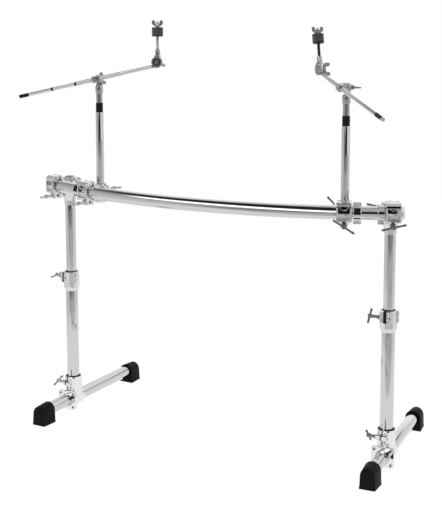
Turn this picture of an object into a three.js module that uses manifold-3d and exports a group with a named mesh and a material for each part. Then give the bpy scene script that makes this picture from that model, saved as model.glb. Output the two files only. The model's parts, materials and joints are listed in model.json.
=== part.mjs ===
// A curved drum rack frame: one bent chrome bar on two height-adjustable legs with T feet,
// and two short stands on the bar, each with a boom rod and a cymbal tilter.
// Millimetres, +Z up, +X along the bar, -Y towards the audience side, floor at zero.
// The origin is the middle of the rack's outer box on the floor.

import * as THREE from 'three';
import { mergeVertices } from 'three/addons/utils/BufferGeometryUtils.js';
import Module from 'manifold-3d';

const wasm = await Module();
wasm.setup();

const degree = Math.PI / 180;
const quarter = Math.PI / 2;

// Sides of the round pieces
const barSides = 16;
const barSteps = 18;
const tubeSides = 14;
const rodSides = 8;
const crossbarSides = 8;
const pinSides = 6;
const holeSides = 6;
const archSteps = 6;
const cornerSteps = 2;

// Clearances
const fit = 0.3;
const barFit = 0.6;
const boltFit = 0.6;
const overrun = 1;

// Rack bar
const barDiameter = 38.1;
const barBendRadius = 1300;
const barHeight = 727;
const legSpread = 1116;
const barOverhang = 36;
const barChamfer = 3;

// How far in from the legs the boom clamps sit, measured along the bar
const leftBoomFromLeg = 166;
const rightBoomFromLeg = 129;
const tubeBehindBar = 48;
const lockGap = 2.5;

// Legs
const upperTubeDiameter = 31.75;
const upperTubeAboveBar = 24;
const upperTubeTop = barHeight + upperTubeAboveBar;
const upperTubeBottom = 230;
const lowerTubeDiameter = 38.1;
const lowerTubeTop = 410;
const lowerTubeBottom = 58.6;
const lowerTubeFloor = 100;
const tubeChamfer = 1.2;

// Feet
const footTubeDiameter = 38.1;
const footAxisHeight = 38.5;
const footFront = 181;
const footRear = 349;
const leftFootTurn = -2.8 * degree;
const rightFootTurn = 2.8 * degree;

// Rubber feet
const rubberLength = 54;
const rubberBase = 52;
const rubberArch = 24;
const rubberWall = 10;
const rubberSkirt = 9;
const rubberDraft = 3;

// Foot clamps
const footSleeveRadius = 26;
const footSleeveTop = 110;
const footBarrelRadius = 26.5;
const footBarrelHalf = 28;
const footFlangeWidth = 66;
const footFlangeHeight = 60;
const footFlangeThickness = 8;
const footFlangeCorner = 9;
const footScrewRadius = 4.5;
const footScrewHeight = 2.5;
const footScrewInset = 9;
const footSlit = 5;
const footSlitTurn = -11 * degree;
const footBoltHeight = 90;
const footBoltForward = 27;
const footLugOut = 17.5;
const footLugHalf = 9;
const footBarPlane = 41;

// Height collars
const collarBottom = 416;
const collarTop = 450;
const collarRadius = 24.5;
const cupBottom = 388;
const cupFootRadius = 20.6;
const cupWaistHeight = 12;
const collarSlit = 6;
const collarLugOut = 16.5;
const collarLugHalf = 10;
const collarBoltForward = 26;
const collarBarPlane = 45;
const collarHingeRadius = 4.5;
const collarHingeOut = 26;
const collarPinRadius = 1.8;
const collarSeam = 1;
const leftCollarTurn = -25 * degree;
const rightCollarTurn = -1.5 * degree;

// Bar clamps: front jaw and the shared hinge
const clampHalf = 21;
const jawFront = 26;
const jawTop = 32;
const jawBottom = 40;
const jawBack = -1;
const jawBrow = 8;
const jawChin = 22;
const tongueHalf = 9;
const tongueFront = 15;
const tongueBack = 4;
const tongueSlotHalf = 4;
const windowHalf = 15.2;
const windowTop = 19;
const windowBottom = -13;
const ribOuter = 12.5;
const ribThickness = 2.2;
const ribDepth = 4;
const hingeY = 6;
const hingeZ = 28;
const knuckleRadius = 5;
const knuckleHalf = 9;
const hingePinRadius = 2;
const hingeHeadHalf = 19;
const jawBoltZ = -32;
const jawBarPlane = 38;

// Bar clamps: rear body
const bodyFront = 3;
const bodyRadius = 26;
const bodyLugBack = 15;
const bodyLugTop = -20;
const neckHalf = 13;
const neckHeight = 17;
const sleeveSlit = 3;
const sleeveLugHalf = 10;
const sleeveLugThickness = 10;
const sleeveBoltHeight = 5;
const sleeveBarPlane = 30.5;

// Corner sleeves round the upper leg tubes
const cornerSleeveRadius = 26;
const cornerSleeveTop = 22;
const cornerSleeveShoulder = -26;
const cornerSleeveFootRadius = 19.5;
const cornerSleeveBottom = -65;
const cornerBoltOut = 30;

// Boom sleeves round the stand tubes
const boomSleeveRadius = 20.5;
const boomSleeveTop = 20;
const boomSleeveShoulder = -28;
const boomSleeveFootRadius = 17;
const boomSleeveBottom = -36;
const boomBoltOut = 25.5;

// T-shaped clamp bolts
const wideBarLength = 68;
const shortBarLength = 46;
const crossbarRadius = 3.25;
const hubFootRadius = 7;
const hubHeadRadius = 6;
const hubFootHeight = 3;
const hubHeadHeight = 5;
const boltRadius = 3;
const jawBoltSlack = 2.4;

// How far each clamp bolt's crossbar is turned
const cornerFrontSpin = 13 * degree;
const leftCornerRearSpin = 20 * degree;
const rightCornerRearSpin = 11 * degree;
const leftCollarSpin = 75 * degree;
const rightCollarSpin = 41 * degree;
const leftFootSpin = 60 * degree;
const rightFootSpin = -37 * degree;
const leftBoomFrontSpin = 70 * degree;
const leftBoomRearSpin = -8 * degree;
const rightBoomFrontSpin = -32 * degree;
const rightBoomRearSpin = 52 * degree;

// Memory locks
const legLockWidth = 17;
const boomLockWidth = 22;
const lockRadius = 23;
const lockLugHalf = 6;
const lockLugReach = 30;
const lockSlit = 3;
const lockWindowHalf = 7.5;
const lockWindowTop = 15;
const lockWindowBottom = -2;
const lockSlotTop = -8;
const lockSlotBottom = -14;
const lockScrewRadius = 4;
const lockScrewOut = 11;

// Boom stands
const standDiameter = 23.4;
const standLength = 272;
const leftStandAboveBar = 235;
const rightStandAboveBar = 229;
const leftStandTop = barHeight + leftStandAboveBar;
const rightStandTop = barHeight + rightStandAboveBar;
const standBoreDepth = 160;
const standWall = 1.1;
const bushingRadius = 10.6;
const bushingHeight = 25;
const bushingNeckRadius = 10;
const bushingNeckHeight = 3;
const bushingSpigot = 16;
const stemDiameter = 18.6;
const stemBelowStandTop = 112;

// Boom tilters, placed round the pivot of the rod
const leftStemOut = 99;
const rightStemOut = 103.5;
const leftPivotHeight = leftStandTop + leftStemOut;
const rightPivotHeight = rightStandTop + rightStemOut;
const leftYokeTurn = 7.9 * degree;
const rightYokeTurn = -48.2 * degree;
const yokeCapRadius = 11.3;
const yokeCapBottom = -43;
const yokeCapTop = -18;
const yokeCapEdge = 2;
const yokeArmHalf = 9.4;
const earRadius = 12;
const earFront = 0;
const earBack = 9;
const rodOffset = 18;
const toothedRadius = 12.5;
const toothDepth = 1.4;
const toothCount = 12;
const holderFaceBack = -0.5;
const holderFaceFront = -6.5;
const holderBlockFront = -27;
const holderBlockHalf = 13;
const holderBlockHeight = 10;
const holderBlockEdge = 4;
const tilterBoltRadius = 3;
const tilterBoltEnd = 21;

// Boom rods
const rodLength = 460;
const rodRadius = 5.35;
const knurlRadius = 6.35;
const knurlBehind = 64;
const knurlAhead = 83;
const knurlTaper = 1;
const rodTip = 1.6;
const leftRodTail = 262;
const rightRodTail = 301;
const leftRodRise = 12.8 * degree;
const rightRodRise = 11.2 * degree;

// Cymbal tilters, placed round the pivot of the head
const headAhead = 4.5;
const headAbove = 9;
const rodDiscRadius = 14;
const rodDiscFront = -2.7;
const rodDiscBack = 3;
const headDiscRadius = 17;
const headDiscFront = -9.5;
const headShoulderHalf = 7.5;
const headShoulderBottom = 15.5;
const headShoulderTop = 20;
const collarPieceRadius = 7.3;
const collarPieceTop = 38;
const postRadius = 4;
const postTop = 117;
const cupWasherRadius = 16;
const cupWasherBottom = 74;
const cupWasherThickness = 2;
const feltRadius = 16.5;
const feltThickness = 8;
const feltCount = 3;
const feltGroove = 0.8;
const feltGrooveDepth = 0.9;
const leftHeadLean = 0;
const rightHeadLean = -13 * degree;

// Wing nuts: on the posts, and on the tilter bolts
const nutHubRadius = 6.3;
const nutHubHeight = 11;
const nutSpan = 34;
const nutHeight = 20;
const wingHubRadius = 7;
const wingHubHeight = 12;
const wingSpan = 37;
const wingHeight = 26;
const wingThickness = 4;
const hubNeckShare = 0.78;
// Points of one wing, as shares of half the span and of the full height
const wingOutlineShares = [
  [0, 0.08], [0.38, 0.08], [0.9, 0.4], [1, 0.95], [0.92, 1],
  [0.66, 1], [0.58, 0.72], [0.36, 0.5], [0, 0.46],
];

// Finishes
const chrome = { color: 0xd6d9dc, roughness: 0.12, metalness: 1 };
const cast = { color: 0xcfd2d6, roughness: 0.2, metalness: 1 };
const darkScrew = { color: 0x9a9da1, roughness: 0.25, metalness: 1 };
const rubber = { color: 0x1d1d1f, roughness: 0.75, metalness: 0 };
const nylon = { color: 0x121214, roughness: 0.45, metalness: 0 };
const felt = { color: 0x47484b, roughness: 0.95, metalness: 0 };

// Turns a closed geometry into a solid that can be cut and joined.
function solid(geometry) {
  const bare = geometry.clone();
  bare.deleteAttribute('normal');
  bare.deleteAttribute('uv');
  const merged = mergeVertices(bare);
  const points = merged.attributes.position.array;
  const kept = [];
  for (let i = 0; i < merged.index.count; i += 3) {
    const [a, b, c] = [merged.index.getX(i), merged.index.getX(i + 1), merged.index.getX(i + 2)];
    if (a !== b && b !== c && c !== a) kept.push(a, b, c);
  }
  const [p, q, r] = [new THREE.Vector3(), new THREE.Vector3(), new THREE.Vector3()];
  let volume = 0;
  for (let i = 0; i < kept.length; i += 3) {
    p.fromArray(points, 3 * kept[i]);
    q.fromArray(points, 3 * kept[i + 1]);
    r.fromArray(points, 3 * kept[i + 2]);
    volume += p.dot(q.cross(r));
  }
  if (volume < 0) kept.reverse();
  return new wasm.Manifold(new wasm.Mesh({
    numProp: 3,
    vertProperties: new Float32Array(points),
    triVerts: new Uint32Array(kept),
  }));
}

const asSolid = (piece) => (piece.isBufferGeometry ? solid(piece) : piece);

// Joins closed shapes into one solid.
function join(...pieces) {
  return pieces.map(asSolid).reduce((whole, piece) => whole.add(piece));
}

// Cuts every tool out of a shape.
function cut(body, ...tools) {
  return tools.map(asSolid).reduce((rest, tool) => rest.subtract(tool), asSolid(body));
}

// Keeps what two shapes share.
function common(first, second) {
  return asSolid(first).intersect(asSolid(second));
}

// Gives a solid back as a geometry with an index.
function geometryOf(piece) {
  const made = asSolid(piece).getMesh();
  const geometry = new THREE.BufferGeometry();
  geometry.setAttribute('position', new THREE.Float32BufferAttribute(made.vertProperties, 3));
  geometry.setIndex(new THREE.Uint32BufferAttribute(made.triVerts, 1));
  geometry.computeVertexNormals();
  return geometry;
}

// Makes a named mesh whose own origin is the given point of its parent.
function mesh(name, piece, finish, origin = [0, 0, 0]) {
  const geometry = geometryOf(piece).translate(...origin.map((value) => -value));
  const material = new THREE.MeshStandardMaterial({ ...finish, flatShading: true });
  const made = new THREE.Mesh(geometry, material);
  made.name = name;
  made.position.set(...origin);
  return made;
}

// Groups children at a place, turned about the vertical.
function group(place, turn, ...children) {
  const made = new THREE.Group();
  made.position.set(...place);
  made.rotation.z = turn;
  made.add(...children);
  return made;
}

// Revolves [radius, height] points about Z.
function revolve(profile, sides) {
  const points = profile.map(([radius, height]) => new THREE.Vector2(radius, height));
  return new THREE.LatheGeometry(points, sides).rotateX(quarter);
}

// The corner radius of a faceted bore whose flats clear a round piece.
const boreRadius = (radius, sides) => radius / Math.cos(Math.PI / sides);

// A solid round bar along Z with chamfered ends.
function roundBar(radius, low, high, sides, chamfer = 0) {
  const ends = chamfer > 0
    ? [[radius - chamfer, low], [radius, low + chamfer], [radius, high - chamfer], [radius - chamfer, high]]
    : [[radius, low], [radius, high]];
  return revolve([[0, low], ...ends, [0, high]], sides);
}

// A cutter for a round bore along Z.
const bore = (clear, low, high, sides) => roundBar(boreRadius(clear, sides), low, high, sides);

// A box between two corners.
function block(x, y, z) {
  const [width, depth, height] = [x, y, z].map(([low, high]) => Math.abs(high - low));
  const [cx, cy, cz] = [x, y, z].map(([low, high]) => (low + high) / 2);
  return new THREE.BoxGeometry(width, depth, height).translate(cx, cy, cz);
}

// Turns a shape that lies along Z so that it lies along X or Y.
const alongX = (geometry) => geometry.rotateX(quarter).rotateZ(quarter);
const alongY = (geometry) => geometry.rotateX(-quarter);

// Extrudes an outline of (y, z) points along X.
function plateAcross(outline, half) {
  const geometry = new THREE.ExtrudeGeometry(outline, { depth: 2 * half, bevelEnabled: false });
  return alongX(geometry.translate(0, 0, -half));
}

// Extrudes an outline of (x, z) points from one y to another.
function plateFacing(outline, front, back, curveSegments = archSteps) {
  const settings = { depth: back - front, bevelEnabled: false, curveSegments };
  return new THREE.ExtrudeGeometry(outline, settings).rotateX(quarter).translate(0, back, 0);
}

// An outline from plain points.
function outlineOf(points) {
  return new THREE.Shape(points.map(([x, y]) => new THREE.Vector2(x, y)));
}

// A rectangle with rounded corners, centred on a height.
function roundedRectangle(width, height, corner, middle) {
  const [right, top] = [width / 2, middle + height / 2];
  const [left, bottom] = [-right, middle - height / 2];
  const outline = new THREE.Shape();
  outline.moveTo(left + corner, bottom);
  outline.absarc(right - corner, bottom + corner, corner, -quarter, 0, false);
  outline.absarc(right - corner, top - corner, corner, 0, quarter, false);
  outline.absarc(left + corner, top - corner, corner, quarter, Math.PI, false);
  outline.absarc(left + corner, bottom + corner, corner, Math.PI, Math.PI + quarter, false);
  return outline;
}

// A place on the bar's arc, moved back from the bar, with the direction of the bar there.
function onBar(along, behind) {
  const turn = along / barBendRadius;
  const radius = barBendRadius - behind;
  return { place: [radius * Math.sin(turn), barBendRadius - radius * Math.cos(turn)], turn };
}

// The bar is a circle swept along its arc, with domed caps in its ends.
class BarArc extends THREE.Curve {
  constructor(half) {
    super();
    this.half = half;
  }

  getPoint(t, target = new THREE.Vector3()) {
    const { place: [x, y] } = onBar((2 * t - 1) * this.half, 0);
    return target.set(x, y, 0);
  }
}

function rackBar() {
  const half = legSpread / 2 + barOverhang - barChamfer;
  const radius = barDiameter / 2;
  const section = outlineOf(Array.from({ length: barSides }, (_, i) => {
    const angle = (2 * Math.PI * i) / barSides;
    return [radius * Math.cos(angle), radius * Math.sin(angle)];
  }));
  const swept = new THREE.ExtrudeGeometry(section, { steps: barSteps, extrudePath: new BarArc(half) });
  const caps = [-1, 1].map((side) => {
    const { place: [x, y], turn } = onBar(side * half, 0);
    const cap = revolve([[0, -overrun], [radius - overrun, -overrun], [radius - overrun, 0],
      [radius - barChamfer, barChamfer], [0, barChamfer]], barSides);
    return alongX(cap).rotateZ(side > 0 ? turn : turn + Math.PI).translate(x, y, 0);
  });
  return join(swept, ...caps);
}

// The T-shaped bolt: its axis is Z, zero is the face it bears on, and the crossbar is outside.
function clampBolt(barLength, reach, grip, spin) {
  const stem = revolve([
    [0, -grip], [boltRadius, -grip], [boltRadius, 0], [hubFootRadius, 0], [hubFootRadius, hubFootHeight],
    [hubHeadRadius, reach - hubHeadHeight], [hubHeadRadius, reach + hubHeadHeight],
    [0, reach + hubHeadHeight],
  ], pinSides);
  const crossbar = alongX(roundBar(crossbarRadius, -barLength / 2, barLength / 2, crossbarSides));
  return join(stem.rotateZ(spin), crossbar.translate(0, 0, reach).rotateZ(spin));
}

// A wing nut: its axis is Z and it stands on zero.
function wingNut(hubRadius, hubHeight, span, height, clear) {
  const wing = outlineOf(wingOutlineShares.map(([out, up]) => [(out * span) / 2, up * height]));
  const blade = plateFacing(wing, -wingThickness / 2, wingThickness / 2);
  const hub = revolve([
    [0, 0], [hubRadius, 0], [hubRadius, hubHeight / 2],
    [hubRadius * hubNeckShare, hubHeight], [0, hubHeight],
  ], pinSides);
  const wings = join(blade, blade.clone().rotateZ(Math.PI), hub);
  return cut(wings, bore(clear, -overrun, height + overrun, holeSides));
}

// The front jaw of a bar clamp, round the bar's axis X.
function barJaw() {
  const clear = boreRadius(barDiameter / 2 + barFit, barSides);
  const chinLow = jawBoltZ + hubFootRadius + fit;
  const outline = outlineOf([
    [jawBack, jawTop], [-jawBrow, jawTop], [-(jawFront + jawBrow) / 2, (jawTop + windowTop) / 2],
    [-jawFront, windowTop - jawBrow / 2], [-jawFront, windowBottom + jawBrow / 2],
    [-jawChin, -jawChin], [-tongueFront, chinLow], [jawBack, chinLow],
  ]);
  const tongue = block([-tongueHalf, tongueHalf], [-tongueFront, -tongueBack], [-jawBottom, bodyLugTop]);
  const barBore = alongX(roundBar(clear, -2 * clampHalf, 2 * clampHalf, barSides));
  const full = cut(plateAcross(outline, clampHalf), barBore);
  const ribRing = (middle, from, to) => {
    const rib = new THREE.Shape();
    rib.absarc(0, middle, ribOuter, from, to, false);
    rib.absarc(0, middle, ribOuter - ribThickness, to, from, true);
    return plateFacing(rib, -jawFront - overrun, -jawFront + ribDepth, archSteps / 2);
  };
  const ribs = common(full, join(
    ribRing(windowTop + overrun, Math.PI, 2 * Math.PI),
    ribRing(windowBottom - ribThickness, 0, Math.PI),
  ));
  const opening = block([-windowHalf, windowHalf], [-2 * jawFront, 0], [windowBottom, windowTop]);
  const knuckle = alongX(roundBar(knuckleRadius, -knuckleHalf, knuckleHalf, rodSides))
    .translate(0, hingeY, hingeZ);
  const web = block([-knuckleHalf, knuckleHalf], [jawBack - overrun, hingeY],
    [hingeZ - knuckleRadius / 2, jawTop]);
  const pinHole = alongX(bore(hingePinRadius + fit, -clampHalf, clampHalf, holeSides))
    .translate(0, hingeY, hingeZ);
  const slot = block([-tongueSlotHalf, tongueSlotHalf], [-jawFront, 0], [-jawBottom - overrun, -jawFront]);
  return cut(join(cut(full, opening), ribs, tongue, knuckle, web), pinHole, slot);
}

// The rear half of a bar clamp with the split sleeve that grips a vertical tube.
function clampBody(sleeve) {
  const inner = boreRadius(barDiameter / 2 + barFit, barSides);
  const shellOuter = alongX(roundBar(bodyRadius, -clampHalf, clampHalf, barSides));
  const behind = block([-clampHalf, clampHalf], [bodyFront, 2 * bodyRadius], [-bodyRadius, bodyRadius]);
  const shell = common(shellOuter, behind);
  const lug = block([-tongueHalf, tongueHalf], [bodyFront, bodyLugBack], [-jawBottom, bodyLugTop]);
  const neck = block([-neckHalf, neckHalf], [bodyRadius / 2, tubeBehindBar], [-neckHeight, neckHeight]);
  const upright = revolve([
    [0, sleeve.bottom], [sleeve.footRadius, sleeve.bottom], [sleeve.radius, sleeve.shoulder],
    [sleeve.radius, sleeve.top], [0, sleeve.top],
  ], tubeSides).translate(0, tubeBehindBar, 0);
  const boltX = sleeve.inboard * sleeve.boltOut;
  const lugY = sleeveSlit / 2 + sleeveLugThickness;
  const lugs = join(
    alongY(roundBar(sleeveLugHalf, -lugY, lugY, rodSides))
      .translate(boltX, tubeBehindBar, sleeveBoltHeight),
    block([0, boltX], [tubeBehindBar - lugY, tubeBehindBar + lugY],
      [sleeveBoltHeight - sleeveLugHalf, sleeveBoltHeight + sleeveLugHalf]),
  );
  const knuckleEar = (side) => {
    const [from, to] = [side * (knuckleHalf + fit), side * hingeHeadHalf];
    const eye = roundBar(knuckleRadius, Math.min(from, to), Math.max(from, to), rodSides);
    const web = block([from, to], [bodyFront, hingeY + knuckleRadius], [bodyRadius / 2, hingeZ]);
    return join(alongX(eye).translate(0, hingeY, hingeZ), web);
  };
  const pin = alongX(roundBar(hingePinRadius, -hingeHeadHalf, hingeHeadHalf, pinSides))
    .translate(0, hingeY, hingeZ);
  const knuckleRoom = alongX(bore(knuckleRadius + 2 * fit, -knuckleHalf - fit, knuckleHalf + fit, rodSides))
    .translate(0, hingeY, hingeZ);
  const sleeveZ = [sleeve.bottom - overrun, sleeve.top + overrun];
  const tubeBore = bore(sleeve.clear, ...sleeveZ, tubeSides).translate(0, tubeBehindBar, 0);
  const slitY = [tubeBehindBar - sleeveSlit / 2, tubeBehindBar + sleeveSlit / 2];
  const slit = block([0, 2 * boltX], slitY, sleeveZ);
  const barBore = alongX(roundBar(inner, -2 * clampHalf, 2 * clampHalf, barSides));
  const jawBoltHole = alongY(bore(boltRadius + jawBoltSlack, -bodyRadius, bodyLugBack + overrun, holeSides))
    .translate(0, 0, jawBoltZ);
  const sleeveBoltHole = alongY(bore(boltRadius + boltFit, -lugY - overrun, lugY + overrun, holeSides))
    .translate(boltX, tubeBehindBar, sleeveBoltHeight);
  const raw = cut(join(shell, lug, neck, upright, lugs), knuckleRoom);
  const whole = join(raw, knuckleEar(-1), knuckleEar(1), pin);
  return cut(whole, barBore, tubeBore, slit, jawBoltHole, sleeveBoltHole);
}

// A lock ring beside a clamp, with a lug above or below that its screw draws together.
function memoryLock(width, windowed, lugsUp, lugsDown) {
  const half = width / 2;
  const body = alongX(roundBar(lockRadius, -half, half, barSides));
  const inner = alongX(bore(barDiameter / 2 + barFit, -width, width, barSides));
  const lug = (side) => join(
    block([-half, half], [-lockLugHalf - lockSlit / 2, lockLugHalf + lockSlit / 2],
      [0, side * lockLugReach]),
    alongY(roundBar(lockScrewRadius, -lockScrewOut, lockScrewOut, pinSides))
      .translate(0, 0, side * (lockLugReach - lockScrewRadius - overrun)),
  );
  const lugs = [lugsUp ? 1 : 0, lugsDown ? -1 : 0].filter((side) => side !== 0).map(lug);
  const splitSide = lugsDown ? -1 : 1;
  const slit = block([-width, width], [-lockSlit / 2, lockSlit / 2], [0, splitSide * 2 * lockLugReach]);
  const screw = alongY(roundBar(lockScrewRadius / 2, -lockScrewOut, lockScrewOut, pinSides))
    .translate(0, 0, splitSide * (lockLugReach - lockScrewRadius - overrun));
  const windows = windowed ? [
    block([-lockWindowHalf, lockWindowHalf], [-2 * lockRadius, 0], [lockWindowBottom, lockWindowTop]),
    block([-lockWindowHalf, lockWindowHalf], [-2 * lockRadius, 0], [lockSlotBottom, lockSlotTop]),
  ] : [];
  return cut(join(cut(join(body, ...lugs), slit), screw), inner, ...windows);
}

// The split sleeve and barrel that join a leg to its foot tube; the leg axis is Z, the foot lies along Y.
function footClampBody() {
  const upright = roundBar(footSleeveRadius, footAxisHeight, footSleeveTop, tubeSides);
  const barrel = alongY(roundBar(footBarrelRadius, -footBarrelHalf, footBarrelHalf, tubeSides))
    .translate(0, 0, footAxisHeight);
  const flangeFront = -footBarrelHalf - footFlangeThickness;
  const flange = plateFacing(
    roundedRectangle(footFlangeWidth, footFlangeHeight, footFlangeCorner, footAxisHeight),
    flangeFront, -footBarrelHalf, cornerSteps,
  );
  const screws = [-1, 1].flatMap((sx) => [-1, 1].map((sz) => alongY(
    roundBar(footScrewRadius, flangeFront - footScrewHeight, flangeFront + overrun, pinSides),
  ).translate(
    sx * (footFlangeWidth / 2 - footScrewInset), 0,
    footAxisHeight + sz * (footFlangeHeight / 2 - footScrewInset),
  )));
  const lugZ = [footBoltHeight - footLugHalf, footBoltHeight + footLugHalf];
  const lugs = join(
    alongX(roundBar(footLugHalf, -footLugOut, footLugOut, rodSides))
      .translate(0, -footBoltForward, footBoltHeight),
    block([-footLugOut, footLugOut], [-footBoltForward, 0], lugZ),
  );
  const slit = block([-footSlit / 2, footSlit / 2], [-2 * footBoltForward, 0],
    [footAxisHeight + footBarrelRadius, footSleeveTop + overrun]);
  const hole = alongX(bore(boltRadius + boltFit, -footLugOut - overrun, footLugOut + overrun, holeSides))
    .translate(0, -footBoltForward, footBoltHeight);
  const turned = (geometry) => solid(geometry.rotateZ(footSlitTurn));
  const legBore = bore(lowerTubeDiameter / 2 + fit, footAxisHeight, footSleeveTop + overrun, tubeSides);
  const footBore = alongY(bore(footTubeDiameter / 2 + fit, flangeFront - footScrewHeight - overrun,
    footBarrelHalf + overrun, tubeSides)).translate(0, 0, footAxisHeight);
  const raised = join(upright, lugs.rotate([0, 0, footSlitTurn / degree]));
  return cut(join(raised, barrel, flange, ...screws), legBore, footBore, turned(slit), turned(hole));
}

// A rubber foot: an arch with flared sides, its inner end at zero and its closed end along -Y.
function rubberFoot() {
  const outline = new THREE.Shape();
  outline.moveTo(-rubberBase / 2, 0);
  outline.lineTo(rubberBase / 2, 0);
  outline.lineTo(rubberBase / 2 - overrun, rubberSkirt);
  outline.absarc(0, footAxisHeight, rubberArch, 0, Math.PI, false);
  outline.lineTo(-rubberBase / 2 + overrun, rubberSkirt);
  const geometry = plateFacing(outline, -rubberLength, 0);
  const points = geometry.attributes.position;
  for (let i = 0; i < points.count; i += 1) {
    if (points.getY(i) < -rubberLength / 2) {
      const up = points.getZ(i) / (footAxisHeight + rubberArch);
      points.setX(i, points.getX(i) * (1 - rubberDraft / rubberArch));
      points.setY(i, points.getY(i) + rubberDraft * up);
      points.setZ(i, points.getZ(i) - rubberDraft * up);
    }
  }
  const socket = alongY(bore(footTubeDiameter / 2 + fit, -rubberLength + rubberWall, overrun, tubeSides));
  return cut(geometry, socket.translate(0, 0, footAxisHeight));
}

// The height collar: a cup on the lower tube and the fixed part of the ring round the upper tube.
function collarParts() {
  const whole = revolve([
    [0, cupBottom], [cupFootRadius, cupBottom], [collarRadius, cupBottom + cupWaistHeight],
    [collarRadius, collarTop], [0, collarTop],
  ], tubeSides);
  const lugZ = [collarBottom + overrun, collarTop - overrun];
  const lugMiddle = (collarBottom + collarTop) / 2;
  const lugY = [-collarBoltForward - collarLugHalf / 2, -collarBoltForward / 2];
  const lugLeft = block([-collarLugOut, 0], lugY, lugZ);
  const lugRight = block([0, collarLugOut], lugY, lugZ);
  const hinge = roundBar(collarHingeRadius, collarBottom + overrun, collarTop - overrun, rodSides)
    .translate(collarHingeOut, 0, 0);
  const third = (collarTop - collarBottom) / 3;
  const middleZ = [collarBottom + third, collarTop - third];
  const pin = roundBar(collarPinRadius, collarBottom + overrun, collarTop - overrun, pinSides)
    .translate(collarHingeOut, 0, 0);
  const pinHole = bore(collarPinRadius + fit, middleZ[0] - overrun, middleZ[1] + overrun, holeSides)
    .translate(collarHingeOut, 0, 0);
  const reach = 2 * collarRadius;
  const front = block([0, reach], [-reach, -collarSeam / 2], [collarBottom + fit, collarTop + overrun]);
  const hingeRoom = bore(collarHingeRadius + 2 * fit, middleZ[0], middleZ[1], rodSides)
    .translate(collarHingeOut, 0, 0);
  const middle = block([0, reach], [-reach, reach], [middleZ[0] + fit, middleZ[1] - fit]);
  const upperBore = bore(upperTubeDiameter / 2 + fit, cupBottom - overrun, collarTop + overrun, tubeSides);
  const lowerBore = bore(lowerTubeDiameter / 2 + fit, cupBottom - overrun, lowerTubeTop + fit, tubeSides);
  const slit = block([-collarSlit / 2, collarSlit / 2], [-reach, 0],
    [collarBottom + fit, collarTop + overrun]);
  const hole = alongX(bore(boltRadius + boltFit, -reach, 0, holeSides))
    .translate(0, -collarBoltForward, lugMiddle);
  const looseHole = alongX(bore(boltRadius + jawBoltSlack, 0, collarLugOut - overrun, holeSides))
    .translate(0, -collarBoltForward, lugMiddle);
  const screw = alongY(roundBar(footScrewRadius, lugY[0] - overrun, -collarBoltForward, pinSides))
    .translate(collarLugOut / 2 + overrun, 0, lugMiddle);
  const ringFront = common(whole, front);
  const jawEye = common(hinge, middle);
  const jaw = cut(join(ringFront, lugRight, screw, jawEye), upperBore, slit, looseHole, pinHole,
    block([0, reach], [-collarSeam / 2, reach], [collarBottom, middleZ[0] + fit]),
    block([0, reach], [-collarSeam / 2, reach], [middleZ[1] - fit, collarTop]));
  const bodyEyes = cut(hinge, block([0, reach], [-reach, reach], middleZ), front);
  const body = cut(
    join(cut(join(whole, lugLeft), front, hingeRoom), bodyEyes, pin),
    upperBore, lowerBore, slit, hole,
  );
  return { body, jaw };
}

// The yoke of a boom tilter with its stem tube; zero is the pivot, the pivot axis is Y.
function tilterYoke(stemBottom) {
  const stem = roundBar(stemDiameter / 2, stemBottom, yokeCapBottom + overrun, tubeSides, tubeChamfer);
  const cap = roundBar(yokeCapRadius, yokeCapBottom, yokeCapTop, tubeSides, yokeCapEdge);
  const disc = alongY(roundBar(earRadius, earFront, earBack, tubeSides));
  const arm = block([-yokeArmHalf, yokeArmHalf], [earFront, earBack], [yokeCapTop - overrun, 0]);
  const hole = alongY(bore(tilterBoltRadius + fit, earFront - overrun, earBack + overrun, holeSides));
  return cut(join(stem, cap, disc, arm), hole);
}

// A disc with teeth round its rim, its axis along Y.
function toothedDisc(radius, front, back) {
  const points = Array.from({ length: 2 * toothCount }, (_, i) => {
    const angle = (Math.PI * i) / toothCount;
    const reach = i % 2 === 0 ? radius : radius - toothDepth;
    return [reach * Math.cos(angle), reach * Math.sin(angle)];
  });
  return plateFacing(outlineOf(points), front, back);
}

// The rod holder: a toothed disc, a split block that grips the rod, and the tilter bolt.
function rodHolder() {
  const disc = toothedDisc(toothedRadius, holderFaceFront - overrun, holderFaceBack);
  const middle = (holderFaceFront + holderBlockFront) / 2;
  const gripOutline = roundedRectangle(2 * holderBlockHalf, 2 * holderBlockHeight, holderBlockEdge, 0);
  const grip = plateFacing(gripOutline, holderBlockFront, holderFaceFront, cornerSteps);
  const boltEnd = alongY(roundBar(tilterBoltRadius, holderFaceFront, tilterBoltEnd, pinSides));
  const rodHole = alongX(bore(knurlRadius + fit, -2 * holderBlockHalf, 2 * holderBlockHalf, rodSides))
    .translate(0, -rodOffset, 0);
  const slit = block([-2 * holderBlockHalf, 2 * holderBlockHalf], [holderBlockFront - overrun, middle],
    [-overrun, overrun]);
  return cut(join(disc, grip, boltEnd), rodHole, slit);
}

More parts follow.
